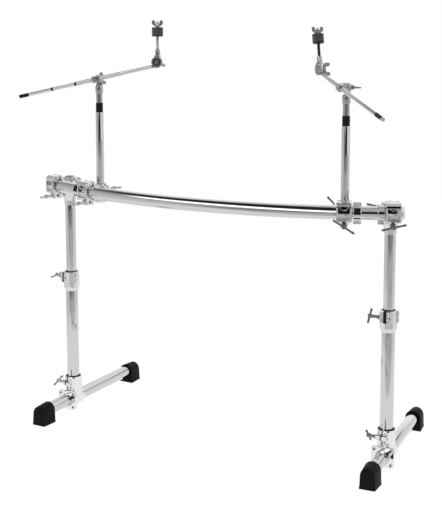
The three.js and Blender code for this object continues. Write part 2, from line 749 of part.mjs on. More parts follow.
// The boom rod along X with its knurled middle and the disc that carries the cymbal tilter.
function boomRod(tail, headSide) {
  const head = rodLength - tail;
  const rod = revolve([
    [0, -tail], [rodRadius - rodTip, -tail], [rodRadius, -tail + rodTip],
    [rodRadius, -knurlBehind - knurlTaper], [knurlRadius, -knurlBehind],
    [knurlRadius, knurlAhead], [rodRadius, knurlAhead + knurlTaper], [rodRadius, head], [0, head],
  ], rodSides);
  const lying = alongX(rod);
  if (headSide < 0) lying.rotateZ(Math.PI);
  const centre = headSide * (head + headAhead);
  const disc = alongY(roundBar(rodDiscRadius, rodDiscFront, rodDiscBack, tubeSides))
    .translate(centre, 0, headAbove);
  const hole = alongY(bore(tilterBoltRadius + fit, -headDiscRadius, headDiscRadius, holeSides))
    .translate(centre, 0, headAbove);
  const flatHalf = headDiscRadius + 2 * overrun;
  const flats = [[-flatHalf, rodDiscFront], [rodDiscBack, flatHalf]].map((depth) => block(
    [centre - flatHalf, centre + flatHalf], depth, [-flatHalf, 2 * flatHalf]));
  return cut(join(cut(lying, ...flats), disc), hole);
}

// The head of a cymbal tilter: toothed disc, bolt, collar, post and the washer under the felts.
function tilterHead() {
  const disc = toothedDisc(headDiscRadius, headDiscFront, rodDiscFront - fit);
  const boltTip = tilterBoltEnd - earBack + rodDiscBack;
  const boltEnd = alongY(roundBar(tilterBoltRadius, headDiscFront, boltTip, pinSides));
  const shoulder = block([-headShoulderHalf, headShoulderHalf], [headDiscFront, headShoulderHalf],
    [headShoulderBottom, headShoulderTop]);
  const washerTop = cupWasherBottom + cupWasherThickness;
  const post = revolve([
    [0, headShoulderTop - overrun], [collarPieceRadius, headShoulderTop - overrun],
    [collarPieceRadius, collarPieceTop - collarPieceRadius + postRadius], [postRadius, collarPieceTop],
    [postRadius, cupWasherBottom], [cupWasherRadius, cupWasherBottom],
    [cupWasherRadius, washerTop], [postRadius, washerTop],
    [postRadius, postTop - overrun], [postRadius - overrun, postTop], [0, postTop],
  ], rodSides);
  return join(disc, boltEnd, shoulder, post);
}

// A stack of felts on the post, with a groove where one felt meets the next.
function feltStack() {
  const low = cupWasherBottom + cupWasherThickness + fit;
  const inner = boreRadius(postRadius + fit, tubeSides);
  const outside = Array.from({ length: feltCount }, (_, i) => {
    const from = low + i * feltThickness;
    const to = from + feltThickness;
    const groove = [feltRadius - feltGrooveDepth, to - feltGroove / 2];
    return [[feltRadius, from], [feltRadius, to - feltGroove], groove];
  }).flat();
  const top = low + feltCount * feltThickness;
  return revolve([
    [inner, low], ...outside, [feltRadius - feltGrooveDepth, top], [inner, top], [inner, low],
  ], tubeSides);
}

// Bolt directions
const toFront = [quarter, 0, 0];
const toBack = [-quarter, 0, 0];
const toLeft = [0, -quarter, 0];

// Places a clamp bolt by the point it bears on, its direction and its spin.
function boltMesh(name, place, direction, length, reach, grip, spin) {
  const made = mesh(name, clampBolt(length, reach, grip, spin), chrome);
  made.position.set(...place);
  made.rotation.set(...direction);
  return made;
}

// A bar clamp with its jaw and both bolts, round the bar's axis.
function barClamp(side, kind, sleeve, tubeHandle, frontSpin, rearSpin) {
  const prefix = `${side}_${kind}`;
  const body = mesh(`${prefix}_clamp_body`, clampBody(sleeve), cast);
  const jaw = mesh(`${prefix}_bar_jaw`, barJaw(), cast, [0, hingeY, hingeZ]);
  const bearing = [0, -tongueFront - fit, jawBoltZ];
  const barBolt = boltMesh(`${prefix}_bar_handle`, bearing, toFront, wideBarLength,
    jawBarPlane - tongueFront - fit, tongueFront + bodyLugBack - overrun, frontSpin);
  const lugFace = sleeveSlit / 2 + sleeveLugThickness;
  const rearBearing = [sleeve.inboard * sleeve.boltOut, tubeBehindBar + lugFace + fit, sleeveBoltHeight];
  const rearBolt = boltMesh(tubeHandle, rearBearing, toBack, wideBarLength,
    sleeveBarPlane - lugFace - fit, 2 * lugFace - overrun, rearSpin);
  return [body, jaw, barBolt, rearBolt];
}

// One leg: tubes, height collar, foot clamp, foot tube and rubber feet, round the leg axis.
function leg(side, collarTurn, footTurn, spins) {
  const upper = mesh(`${side}_upper_tube`,
    roundBar(upperTubeDiameter / 2, upperTubeBottom, upperTubeTop, tubeSides, tubeChamfer), chrome);
  const innerRadius = boreRadius(upperTubeDiameter / 2 + fit, tubeSides);
  const lower = mesh(`${side}_lower_tube`, revolve([
    [0, lowerTubeBottom], [lowerTubeDiameter / 2, lowerTubeBottom], [lowerTubeDiameter / 2, lowerTubeTop],
    [innerRadius, lowerTubeTop], [innerRadius, lowerTubeFloor], [0, lowerTubeFloor],
  ], tubeSides), chrome);
  const { body, jaw } = collarParts();
  const lugMiddle = (collarBottom + collarTop) / 2;
  const collar = group([0, 0, 0], collarTurn,
    mesh(`${side}_height_collar_body`, body, cast),
    mesh(`${side}_height_collar_jaw`, jaw, cast, [collarHingeOut, 0, lugMiddle]),
    boltMesh(`${side}_height_collar_handle`, [-collarLugOut - fit, -collarBoltForward, lugMiddle], toLeft,
      shortBarLength, collarBarPlane - collarLugOut - fit, 2 * collarLugOut - 2 * overrun, spins.collar));
  const footBearing = [-footLugOut - fit, -footBoltForward, footBoltHeight];
  const footBolt = boltMesh(`${side}_foot_clamp_handle`, footBearing, toLeft, shortBarLength,
    footBarPlane - footLugOut - fit, 2 * footLugOut - 2 * overrun, spins.foot);
  const footEnds = [-footFront + rubberWall + fit, footRear - rubberWall - fit];
  const footTube = mesh(`${side}_foot_tube`,
    alongY(roundBar(footTubeDiameter / 2, ...footEnds, tubeSides, tubeChamfer)), chrome);
  footTube.position.z = footAxisHeight;
  const rubberAt = rubberLength - fit;
  const frontRubber = mesh(`${side}_front_rubber_foot`, rubberFoot(), rubber);
  frontRubber.position.y = -footFront + rubberAt;
  const rearRubber = mesh(`${side}_rear_rubber_foot`, rubberFoot(), rubber);
  rearRubber.position.y = footRear - rubberAt;
  rearRubber.rotation.z = Math.PI;
  const foot = group([0, 0, 0], footTurn,
    mesh(`${side}_foot_clamp_body`, footClampBody(), cast),
    group([0, 0, 0], footSlitTurn, footBolt), footTube, frontRubber, rearRubber);
  return [upper, lower, collar, foot];
}

// One boom: stand tube, bushing, yoke, rod holder, rod and cymbal tilter, round the stand axis.
function boom(side, values) {
  const { standTop, pivotHeight, tail, headSide, rise, lean } = values;
  const standRadius = standDiameter / 2;
  const boreIn = standRadius - standWall;
  const stand = mesh(`${side}_stand_tube`, revolve([
    [0, standTop - standLength], [standRadius, standTop - standLength], [standRadius, standTop],
    [boreIn, standTop], [boreIn, standTop - standBoreDepth], [0, standTop - standBoreDepth],
  ], tubeSides), chrome);
  const clear = boreRadius(stemDiameter / 2 + fit, tubeSides);
  const spigot = boreIn * Math.cos(Math.PI / tubeSides) - fit;
  const bushing = mesh(`${side}_tube_bushing`, revolve([
    [clear, standTop - bushingSpigot], [spigot, standTop - bushingSpigot], [spigot, standTop + fit],
    [bushingRadius, standTop + fit], [bushingRadius, standTop + bushingHeight],
    [bushingNeckRadius, standTop + bushingHeight + bushingNeckHeight],
    [clear, standTop + bushingHeight + bushingNeckHeight], [clear, standTop - bushingSpigot],
  ], tubeSides), nylon);
  const yoke = mesh(`${side}_tilter_yoke`, tilterYoke(standTop - stemBelowStandTop - pivotHeight), cast);
  const holder = mesh(`${side}_rod_holder`, rodHolder(), cast);
  const rodWing = mesh(`${side}_rod_wing_screw`,
    wingNut(wingHubRadius, wingHubHeight, wingSpan, wingHeight, tilterBoltRadius + fit), cast);
  rodWing.position.set(0, earBack + fit, 0);
  rodWing.rotation.set(...toBack);
  const rod = mesh(`${side}_boom_rod`, boomRod(tail, headSide), chrome);
  const head = mesh(`${side}_cymbal_tilter_head`, tilterHead(), cast);
  const headWing = mesh(`${side}_tilter_wing`,
    wingNut(wingHubRadius, wingHubHeight, wingSpan, wingHeight, tilterBoltRadius + fit), cast);
  headWing.position.set(0, rodDiscBack + fit, 0);
  headWing.rotation.set(...toBack);
  const felts = mesh(`${side}_cymbal_felts`, feltStack(), felt);
  const nut = mesh(`${side}_wing_nut`,
    wingNut(nutHubRadius, nutHubHeight, nutSpan, nutHeight, postRadius + fit), cast);
  nut.position.z = cupWasherBottom + cupWasherThickness + feltCount * feltThickness + 2 * fit;
  const headPlace = [headSide * (rodLength - tail + headAhead), 0, headAbove];
  const headGroup = group(headPlace, 0, head, headWing, felts, nut);
  headGroup.rotation.y = headSide * rise + lean;
  const rodGroup = group([0, -rodOffset, 0], 0, rod, headGroup);
  const tilted = group([0, 0, 0], 0, holder, rodGroup);
  tilted.rotation.y = -headSide * rise;
  const upper = group([0, 0, pivotHeight], values.turn, yoke, rodWing, tilted);
  return [stand, bushing, upper];
}

const legSleeve = {
  radius: cornerSleeveRadius, top: cornerSleeveTop, shoulder: cornerSleeveShoulder,
  footRadius: cornerSleeveFootRadius, bottom: cornerSleeveBottom, boltOut: cornerBoltOut,
  clear: upperTubeDiameter / 2 + fit,
};
const standSleeve = {
  radius: boomSleeveRadius, top: boomSleeveTop, shoulder: boomSleeveShoulder,
  footRadius: boomSleeveFootRadius, bottom: boomSleeveBottom, boltOut: boomBoltOut,
  clear: standDiameter / 2 + fit,
};

const legs = [
  {
    side: 'left', along: -legSpread / 2, inboard: 1, collarTurn: leftCollarTurn, footTurn: leftFootTurn,
    frontSpin: cornerFrontSpin, rearSpin: leftCornerRearSpin,
    spins: { collar: leftCollarSpin, foot: leftFootSpin },
  },
  {
    side: 'right', along: legSpread / 2, inboard: -1, collarTurn: rightCollarTurn, footTurn: rightFootTurn,
    frontSpin: cornerFrontSpin, rearSpin: rightCornerRearSpin,
    spins: { collar: rightCollarSpin, foot: rightFootSpin },
  },
];

const booms = [
  {
    side: 'left', along: leftBoomFromLeg - legSpread / 2, inboard: 1, outboard: -1, standTop: leftStandTop,
    pivotHeight: leftPivotHeight, turn: leftYokeTurn, tail: leftRodTail, headSide: 1, rise: leftRodRise,
    lean: leftHeadLean, frontSpin: leftBoomFrontSpin, rearSpin: leftBoomRearSpin,
  },
  {
    side: 'right', along: legSpread / 2 - rightBoomFromLeg, inboard: -1, outboard: 1, standTop: rightStandTop,
    pivotHeight: rightPivotHeight, turn: rightYokeTurn, tail: rightRodTail, headSide: -1, rise: rightRodRise,
    lean: rightHeadLean, frontSpin: rightBoomFrontSpin, rearSpin: rightBoomRearSpin,
  },
];

const rack = new THREE.Group();
rack.add(mesh('rack_bar', rackBar(), chrome));
rack.children[0].position.z = barHeight;

for (const values of legs) {
  const seat = onBar(values.along, 0);
  const foot = onBar(values.along, tubeBehindBar);
  const sleeve = { ...legSleeve, inboard: values.inboard };
  const clamp = barClamp(values.side, 'corner', sleeve, `${values.side}_corner_tube_handle`,
    values.frontSpin, values.rearSpin);
  const legPieces = leg(values.side, values.collarTurn, values.footTurn, values.spins);
  rack.add(group([...seat.place, barHeight], seat.turn, ...clamp));
  rack.add(group([...foot.place, 0], 0, ...legPieces));
}

for (const values of booms) {
  const seat = onBar(values.along, 0);
  const sleeve = { ...standSleeve, inboard: values.inboard };
  const upright = group([0, tubeBehindBar, -barHeight], 0,
    ...boom(values.side, { ...values, turn: values.turn - seat.turn }));
  const clamp = barClamp(values.side, 'boom', sleeve, `${values.side}_boom_tube_handle`,
    values.frontSpin, values.rearSpin);
  rack.add(group([...seat.place, barHeight], seat.turn, ...clamp, upright));
  const lockAlong = values.along + values.outboard * (clampHalf + lockGap + boomLockWidth / 2);
  const lockSeat = onBar(lockAlong, 0);
  const lock = mesh(`${values.side}_boom_memory_lock`, memoryLock(boomLockWidth, true, true, true), cast);
  rack.add(group([...lockSeat.place, barHeight], lockSeat.turn, lock));
}

const legLockSeat = onBar(legSpread / 2 - clampHalf - lockGap - legLockWidth / 2, 0);
rack.add(group([...legLockSeat.place, barHeight], legLockSeat.turn,
  mesh('right_leg_memory_lock', memoryLock(legLockWidth, false, false, true), darkScrew)));

// The origin goes to the middle of the outer box, on the floor.
const box = new THREE.Box3().setFromObject(rack, true);
const middle = box.getCenter(new THREE.Vector3());
rack.position.set(-middle.x, -middle.y, -box.min.z);

const frame = new THREE.Group();
frame.add(rack);
frame.updateMatrixWorld(true);

export default frame;
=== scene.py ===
"""The looks of a curved drum rack frame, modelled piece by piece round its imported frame."""

import json
import logging
import math
from collections.abc import Sequence
from dataclasses import dataclass
from enum import Enum

import bpy
from mathutils import Matrix, Vector


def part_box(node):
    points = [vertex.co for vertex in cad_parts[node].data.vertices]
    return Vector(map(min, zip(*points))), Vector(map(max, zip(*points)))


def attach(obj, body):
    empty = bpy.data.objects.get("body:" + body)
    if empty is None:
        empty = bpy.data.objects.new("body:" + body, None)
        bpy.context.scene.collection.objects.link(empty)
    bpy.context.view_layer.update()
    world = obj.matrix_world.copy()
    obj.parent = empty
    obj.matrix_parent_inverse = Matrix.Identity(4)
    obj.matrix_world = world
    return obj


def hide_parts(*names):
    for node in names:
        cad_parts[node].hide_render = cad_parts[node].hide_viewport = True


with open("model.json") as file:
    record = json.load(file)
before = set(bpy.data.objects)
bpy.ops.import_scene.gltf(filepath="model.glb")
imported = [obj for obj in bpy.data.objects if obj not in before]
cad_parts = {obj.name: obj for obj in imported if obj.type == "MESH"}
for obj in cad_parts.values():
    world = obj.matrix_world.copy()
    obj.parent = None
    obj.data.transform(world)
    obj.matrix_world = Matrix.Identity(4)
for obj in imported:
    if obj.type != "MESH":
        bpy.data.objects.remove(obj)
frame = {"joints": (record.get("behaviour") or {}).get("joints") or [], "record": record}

logging.basicConfig(level=logging.INFO, format="%(message)s")
log = logging.getLogger("drum_rack")

MM = 0.001
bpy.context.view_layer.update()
QUARTER = math.pi / 2
UP = Vector((0.0, 0.0, 1.0))

Profile = Sequence[tuple[float, float]]
Span = tuple[float, float]


class Side(Enum):
    """The two ends of the rack, seen from the front."""

    LEFT = "left"
    RIGHT = "right"

    @property
    def toward_middle(self) -> int:
        """The direction along the bar that leads to its middle."""
        return 1 if self is Side.LEFT else -1


# Materials


class Signal:
    """A shader socket that can be used in Python sums."""

    def __init__(self, graph: "Graph", socket: bpy.types.NodeSocket) -> None:
        """Wraps an output socket of a graph."""
        self.graph = graph
        self.socket = socket

    def _math(self, operation: str, first: "Signal | float", second: "Signal | float") -> "Signal":
        """The result of one Math node on two values."""
        return self.graph.node("ShaderNodeMath", {"operation": operation}, {0: first, 1: second})["Value"]

    def __add__(self, other: "Signal | float") -> "Signal":
        """self + other."""
        return self._math("ADD", self, other)

    def __radd__(self, other: float) -> "Signal":
        """other + self."""
        return self._math("ADD", other, self)

    def __sub__(self, other: "Signal | float") -> "Signal":
        """self - other."""
        return self._math("SUBTRACT", self, other)

    def __rsub__(self, other: float) -> "Signal":
        """other - self."""
        return self._math("SUBTRACT", other, self)

    def __mul__(self, other: "Signal | float") -> "Signal":
        """self * other."""
        return self._math("MULTIPLY", self, other)

    def __rmul__(self, other: float) -> "Signal":
        """other * self."""
        return self._math("MULTIPLY", other, self)

    def __pow__(self, other: "Signal | float") -> "Signal":
        """self ** other."""
        return self._math("POWER", self, other)

    def __or__(self, other: "Signal | float") -> "Signal":
        """The larger of the two."""
        return self._math("MAXIMUM", self, other)

    def turn_from(self, other: "Signal") -> "Signal":
        """The angle whose tangent is self / other, in radians."""
        return self._math("ARCTAN2", self, other)

    def __abs__(self) -> "Signal":
        """The value without its sign."""
        return self._math("ABSOLUTE", self, 0.0)

    def over(self, limit: float) -> "Signal":
        """One where the value is over a limit, else zero."""
        return self._math("GREATER_THAN", self, limit)


class Graph:
    """A node tree that is filled by calls."""

    def __init__(self, tree: bpy.types.NodeTree) -> None:
        """Empties a tree, to fill it."""
        self.tree = tree
        tree.nodes.clear()

    def node(self, kind: str, settings: dict | None = None, inputs: dict | None = None) -> "Made":
        """Adds a node.

        Args:
            kind: The node's type.
            settings: Its settings, with "stops" for a ramp's places and colours.
            inputs: Its socket values or links, by name or index.

        Returns:
            The node, whose outputs are read by name or index.
        """
        made = self.tree.nodes.new(kind)
        for key, value in (settings or {}).items():
            if key == "stops":
                self._set_stops(made.color_ramp, value)
            else:
                setattr(made, key, value)
        for key, value in (inputs or {}).items():
            if isinstance(value, Signal):
                self.tree.links.new(value.socket, made.inputs[key])
            else:
                made.inputs[key].default_value = value
        return Made(self, made)

    @staticmethod
    def _set_stops(ramp: bpy.types.ColorRamp, stops: Sequence[tuple[float, float]]) -> None:
        """Sets a grey ramp.

        Args:
            ramp: The ramp.
            stops: Places and their values.
        """
        while len(ramp.elements) < len(stops):
            ramp.elements.new(1.0)
        for element, (place, value) in zip(ramp.elements, stops):
            element.position = place
            element.color = (value, value, value, 1.0)

    def step(self, value: Signal, low: float, high: float) -> Signal:
        """A smooth step of a value from zero at one place to one at another."""
        return self.node("ShaderNodeMapRange", {"interpolation_type": "SMOOTHSTEP"}, {
            "Value": value, "From Min": low, "From Max": high, "To Min": 0.0, "To Max": 1.0})["Result"]

    def blend(self, factor: Signal | float, first: object, second: object) -> Signal:
        """Mixes two colours: zero gives the first and one the second."""
        return self.node("ShaderNodeMix", {"data_type": "RGBA"}, {0: factor, 6: first, 7: second})[2]


class Made:
    """A node whose outputs are read as signals."""

    def __init__(self, graph: Graph, node: bpy.types.Node) -> None:
        """Wraps a node of a graph."""
        self.graph = graph
        self.node = node

    def __getitem__(self, key: str | int) -> Signal:
        """The output of that name or index."""
        return Signal(self.graph, self.node.outputs[key])


@dataclass(frozen=True)
class Finish:
    """What every finish has: a base colour and how rough it is."""

    name: str
    slot: str
    color: tuple[float, float, float]
    roughness: float

    def material(self) -> bpy.types.Material:
        """Makes the material, or gives it back when it is there already.

        Returns:
            The material.
        """
        known = bpy.data.materials.get(self.name)
        if known:
            return known
        made = bpy.data.materials.new(self.name)
        made.use_nodes = True
        graph = Graph(made.node_tree)
        place = graph.node("ShaderNodeTexCoord")["Object"]
        shader = self.shader(graph, place)
        graph.node("ShaderNodeOutputMaterial", inputs={"Surface": shader})
        return made

    def shader(self, graph: Graph, place: Signal) -> Signal:
        """Makes the shader, from Object coordinates in metres."""
        raise NotImplementedError

    def noise(self, graph: Graph, place: Signal, scale: float, detail: float = 3.0) -> Signal:
        """A noise of so many cells per metre, about one half on average."""
        return graph.node("ShaderNodeTexNoise", inputs={
            "Vector": place, "Scale": scale, "Detail": detail, "Roughness": 0.55})["Fac"]

    def shade(self, value: float) -> tuple[float, float, float, float]:
        """The base colour times a value."""
        return (*(channel * value for channel in self.color), 1.0)

    def bump(self, graph: Graph, height: Signal, strength: float, distance: float) -> Signal:
        """The normal of a height, whose unit is a distance in metres."""
        return graph.node("ShaderNodeBump", inputs={
            "Strength": strength, "Distance": distance, "Height": height})["Normal"]


@dataclass(frozen=True)
class ChromePlate(Finish):
    """Bright plate with faint wipe marks, and the slight waviness of what is under it."""

    wave_scale: float = 60.0
    wave_strength: float = 0.02
    marks: float = 0.05
    wipe_scale: float = 14.0
    dust_scale: float = 900.0
    dust_limit: float = 0.7
    patch_scale: float = 30.0
    wave_height: float = 0.001

    def shader(self, graph: Graph, place: Signal) -> Signal:
        """Makes the plated shader.

        Args:
            graph: The material's graph.
            place: Object coordinates in metres.

        Returns:
            The finished shader.
        """
        wiped = self.noise(graph, place, self.wipe_scale, 5.0) ** 3.0
        dust = self.noise(graph, place, self.dust_scale, 2.0).over(self.dust_limit)
        dust = dust * self.noise(graph, place, self.patch_scale)
        wave = self.noise(graph, place, self.wave_scale, 1.0)
        return graph.node("ShaderNodeBsdfPrincipled", inputs={
            "Base Color": graph.blend(dust * 0.3 + wiped * 0.25, self.shade(1.0), self.shade(0.88)),
            "Metallic": 1.0,
            "Roughness": self.roughness + wiped * self.marks + dust * 0.1,
            "Normal": self.bump(graph, wave, self.wave_strength, self.wave_height),
        })["BSDF"]


@dataclass(frozen=True)
class Rubber(Finish):
    """Moulded rubber with a fine grain and worn, dusty high spots."""

    grain_scale: float = 1600.0
    dust_scale: float = 55.0
    grain_height: float = 0.0003

    def shader(self, graph: Graph, place: Signal) -> Signal:
        """Makes the rubber shader.

        Args:
            graph: The material's graph.
            place: Object coordinates in metres.

        Returns:
            The finished shader.
        """
        grain = self.noise(graph, place, self.grain_scale, 2.0)
        dust = self.noise(graph, place, self.dust_scale, 5.0)
        return graph.node("ShaderNodeBsdfPrincipled", inputs={
            "Base Color": graph.blend(dust * 0.8, self.shade(0.75), self.shade(1.5)),
            "Roughness": self.roughness - grain * 0.12 + dust * 0.08,
            "Specular IOR Level": 0.1,
            "Normal": self.bump(graph, grain, 0.35, self.grain_height),
        })["BSDF"]


@dataclass(frozen=True)
class Nylon(Finish):
    """Black moulded nylon, satin with a faint flow pattern."""

    flow_scale: float = 240.0
    flow_height: float = 0.0004

    def shader(self, graph: Graph, place: Signal) -> Signal:
        """Makes the nylon shader.

        Args:
            graph: The material's graph.
            place: Object coordinates in metres.

        Returns:
            The finished shader.
        """
        flow = self.noise(graph, place, self.flow_scale, 3.0)
        return graph.node("ShaderNodeBsdfPrincipled", inputs={
            "Base Color": graph.blend(flow, self.shade(0.8), self.shade(1.25)),
            "Roughness": self.roughness + flow * 0.1,
            "Specular IOR Level": 0.2,
            "Normal": self.bump(graph, flow, 0.12, self.flow_height),
        })["BSDF"]


@dataclass(frozen=True)
class Felt(Finish):
    """Dense wool felt: fine fibres, matt with a soft sheen."""

    fibre_scale: float = 2600.0
    clump_scale: float = 420.0
    fibre_height: float = 0.0006

    def shader(self, graph: Graph, place: Signal) -> Signal:
        """Makes the felt shader.

        Args:
            graph: The material's graph.
            place: Object coordinates in metres.

        Returns:
            The finished shader.
        """
        fibres = self.noise(graph, place, self.fibre_scale, 4.0)
        clumps = self.noise(graph, place, self.clump_scale, 3.0)
        height = fibres * 0.6 + clumps * 0.4
        return graph.node("ShaderNodeBsdfPrincipled", inputs={
            "Base Color": graph.blend(height, self.shade(0.6), self.shade(1.5)),
            "Roughness": self.roughness,
            "Sheen Weight": 0.3,
            "Sheen Roughness": 0.5,
            "Normal": self.bump(graph, height, 0.7, self.fibre_height),
        })["BSDF"]


TUBE = ChromePlate("polished_tube_plate", "chrome_tube", (0.62, 0.625, 0.64), 0.05, wave_scale=25.0, marks=0.04)
ROD = ChromePlate("rod_plate", "chrome_tube", (0.62, 0.625, 0.64), 0.2, wave_scale=8.0, wave_strength=0.005)
SATIN = ChromePlate("satin_cap_plate", "cast_chrome", (0.78, 0.785, 0.795), 0.38, wave_scale=130.0)
FORGED = ChromePlate("plated_foot_joint", "cast_chrome", (0.8, 0.805, 0.815), 0.06, wave_scale=90.0,
                     wave_strength=0.08)
TILTER = ChromePlate("plated_tilter", "cast_chrome", (0.4, 0.404, 0.412), 0.06, wave_scale=130.0)
# A lighter copy of the bolts' chrome plate, painted light: for the left end's bolts, post nut and thread.
LIT_BOLT_PLATE = ChromePlate("bolt_plate_painted_light", "chrome_handle", (0.5, 0.505, 0.515), 0.08, wave_scale=160.0, marks=0.06)
CAST = ChromePlate("plated_casting", "cast_chrome", (0.7, 0.705, 0.715), 0.08, wave_scale=130.0, wave_strength=0.05)
# A darker copy of the same plate, painted shade: for the right end's bolts and both ends' large wing nuts.
SHADED_BOLT_PLATE = ChromePlate("bolt_plate_painted_shade", "chrome_handle", (0.2, 0.204, 0.212), 0.1, wave_scale=160.0, marks=0.06)
SCREW = ChromePlate("blacked_steel", "dark_screw", (0.06, 0.061, 0.065), 0.28, wave_scale=160.0, marks=0.1)
LOCK = ChromePlate("plated_lock", "dark_screw", (0.62, 0.625, 0.635), 0.09, wave_scale=130.0, marks=0.08)
RUBBER = Rubber("moulded_rubber", "foot_rubber", (0.004, 0.004, 0.0045), 0.6)
NYLON = Nylon("satin_nylon", "black_nylon", (0.003, 0.003, 0.0035), 0.42)
FELT = Felt("wool_felt", "grey_felt", (0.03, 0.031, 0.034), 0.95)


# Modelling


def alone(thing: bpy.types.Object) -> None:
    """Makes one object the only selected and the active one.

    Args:
        thing: The object.
    """
    bpy.ops.object.select_all(action="DESELECT")
    thing.select_set(True)
    bpy.context.view_layer.objects.active = thing


class Form:
    """A closed shape being modelled in millimetres round the origin of its sub-assembly."""

    def __init__(self, thing: bpy.types.Object) -> None:
        """Wraps the object whose mesh is shaped."""
        self.thing = thing

    @staticmethod
    def bar(radius: float, low: float, high: float, edge: float = 0.0, sides: int = 64) -> "Form":
        """A round bar along Z.

        Args:
            radius: Its radius.
            low: Its lower end.
            high: Its upper end.
            edge: How far its end edges are rounded.
            sides: Its number of sides.

        Returns:
            The form.
        """
        bpy.ops.object.select_all(action="DESELECT")
        bpy.ops.mesh.primitive_cylinder_add(
            vertices=sides, radius=radius, depth=high - low, location=(0, 0, (low + high) / 2))
        made = Form(bpy.context.object).settled()
        return made.rounded(edge) if edge else made

    @staticmethod
    def box(x: Span, y: Span, z: Span, edge: float = 0.0) -> "Form":
        """A box between two corners.

        Args:
            x: Its ends along X.
            y: Its ends along Y.
            z: Its ends along Z.
            edge: How far its edges are rounded.

        Returns:
            The form.
        """
        bpy.ops.object.select_all(action="DESELECT")
        middle = [(low + high) / 2 for low, high in (x, y, z)]
        size = [abs(high - low) for low, high in (x, y, z)]
        bpy.ops.mesh.primitive_cube_add(size=1, location=middle, scale=size)
        made = Form(bpy.context.object).settled()
        return made.rounded(edge) if edge else made

    @staticmethod
    def turned(profile: Profile, edge: float = 0.0, sides: int = 64) -> "Form":
        """A turned shape: a disc extruded and scaled from step to step along Z.

        Args:
            profile: Radius and height of each step.
            edge: How far the edges between steps are rounded.
            sides: Its number of sides.

        Returns:
            The form.
        """
        (radius, height), *steps = profile
        bpy.ops.object.select_all(action="DESELECT")
        bpy.ops.mesh.primitive_circle_add(
            vertices=sides, radius=radius, fill_type="NGON", location=(0, 0, height))
        made = Form(bpy.context.object).settled()
        bpy.ops.object.mode_set(mode="EDIT")
        bpy.ops.mesh.select_all(action="SELECT")
        for next_radius, next_height in steps:
            bpy.ops.mesh.extrude_region_move(
                TRANSFORM_OT_translate={"value": (0, 0, next_height - height)})
            share = next_radius / radius
            bpy.ops.transform.resize(value=(share, share, 1), center_override=(0, 0, next_height))
            radius, height = next_radius, next_height
        bpy.ops.mesh.select_all(action="SELECT")
        bpy.ops.mesh.normals_make_consistent(inside=False)
        bpy.ops.object.mode_set(mode="OBJECT")
        return made.rounded(edge) if edge else made

    @staticmethod
    def prism(outline: Profile, low: float, high: float, edge: float = 0.0) -> "Form":
        """An outline in X and Y extruded along Z.

        Args:
            outline: Its points in order.
            low: Its lower face.
            high: Its upper face.
            edge: How far its sharp edges are rounded.

        Returns:
            The form.
        """
        bpy.ops.object.select_all(action="DESELECT")
        bpy.ops.mesh.primitive_circle_add(vertices=len(outline), radius=1, fill_type="NGON")
        made = Form(bpy.context.object)
        for vertex, (x, y) in zip(made.thing.data.vertices, outline):
            vertex.co = (x, y, low)
        bpy.ops.object.mode_set(mode="EDIT")
        bpy.ops.mesh.select_all(action="SELECT")
        bpy.ops.mesh.extrude_region_move(TRANSFORM_OT_translate={"value": (0, 0, high - low)})
        bpy.ops.mesh.select_all(action="SELECT")
        bpy.ops.mesh.normals_make_consistent(inside=False)
        bpy.ops.object.mode_set(mode="OBJECT")
        return made.rounded(edge) if edge else made

    def settled(self) -> "Form":
        """Puts the object's place, turn and size into its mesh.

        Returns:
            The form itself.
        """
        alone(self.thing)
        bpy.ops.object.transform_apply(location=True, rotation=True, scale=True)
        return self

    def placed(self, matrix: Matrix) -> "Form":
        """Moves and turns the mesh by a matrix."""
        self.thing.matrix_world = matrix
        return self.settled()

    def moved(self, x: float, y: float, z: float) -> "Form":
        """Moves the mesh."""
        return self.placed(Matrix.Translation((x, y, z)))

    def spun(self, angle: float, axis: str = "Z") -> "Form":
        """Turns the mesh about an axis through the origin."""
        return self.placed(Matrix.Rotation(angle, 4, axis))

    def along_x(self) -> "Form":
        """Lays a shape that runs along Z so that it runs along X."""
        return self.spun(QUARTER, "X").spun(QUARTER, "Z")

    def along_y(self) -> "Form":
        """Lays a shape that runs along Z so that it runs along Y."""
        return self.spun(-QUARTER, "X")

    def copy(self) -> "Form":
        """Copies the form, with its own mesh.

        Returns:
            The copy.
        """
        twin = self.thing.copy()
        twin.data = self.thing.data.copy()
        bpy.context.collection.objects.link(twin)
        return Form(twin)

    def modified(self, kind: str, **settings: object) -> "Form":
        """Adds a modifier and applies it.

        Args:
            kind: The modifier's type.
            settings: Its settings.

        Returns:
            The form itself.
        """
        alone(self.thing)
        modifier = self.thing.modifiers.new(kind.lower(), kind)
        for key, value in settings.items():
            setattr(modifier, key, value)
        bpy.ops.object.modifier_apply(modifier=modifier.name)
        return self

    def rounded(self, edge: float, angle: float = 0.6, segments: int = 3) -> "Form":
        """Rounds the edges that are sharper than an angle."""
        return self.modified("BEVEL", width=edge, segments=segments, limit_method="ANGLE", angle_limit=angle)

    def _boolean(self, operation: str, others: Sequence["Form"]) -> "Form":
        """Combines the form with others, which are used up.

        Args:
            operation: UNION, DIFFERENCE or INTERSECT.
            others: The other forms.

        Returns:
            The form itself.
        """
        for other in others:
            self.modified("BOOLEAN", operation=operation, object=other.thing, solver="MANIFOLD")
            bpy.data.objects.remove(other.thing)
        return self

    def add(self, *others: "Form") -> "Form":
        """Joins other forms to this one."""
        return self._boolean("UNION", others)

    def cut(self, *others: "Form") -> "Form":
        """Cuts other forms out of this one."""
        return self._boolean("DIFFERENCE", others)

    def within(self, other: "Form") -> "Form":
        """Keeps what lies in another form."""
        return self._boolean("INTERSECT", (other,))

    def beside(self, *others: "Form") -> "Form":
        """Adds separate closed shapes to the same mesh.

        Args:
            others: The shapes, which are used up.

        Returns:
            The form itself.
        """
        alone(self.thing)
        for other in others:
            other.thing.select_set(True)
        bpy.ops.object.join()
        return self

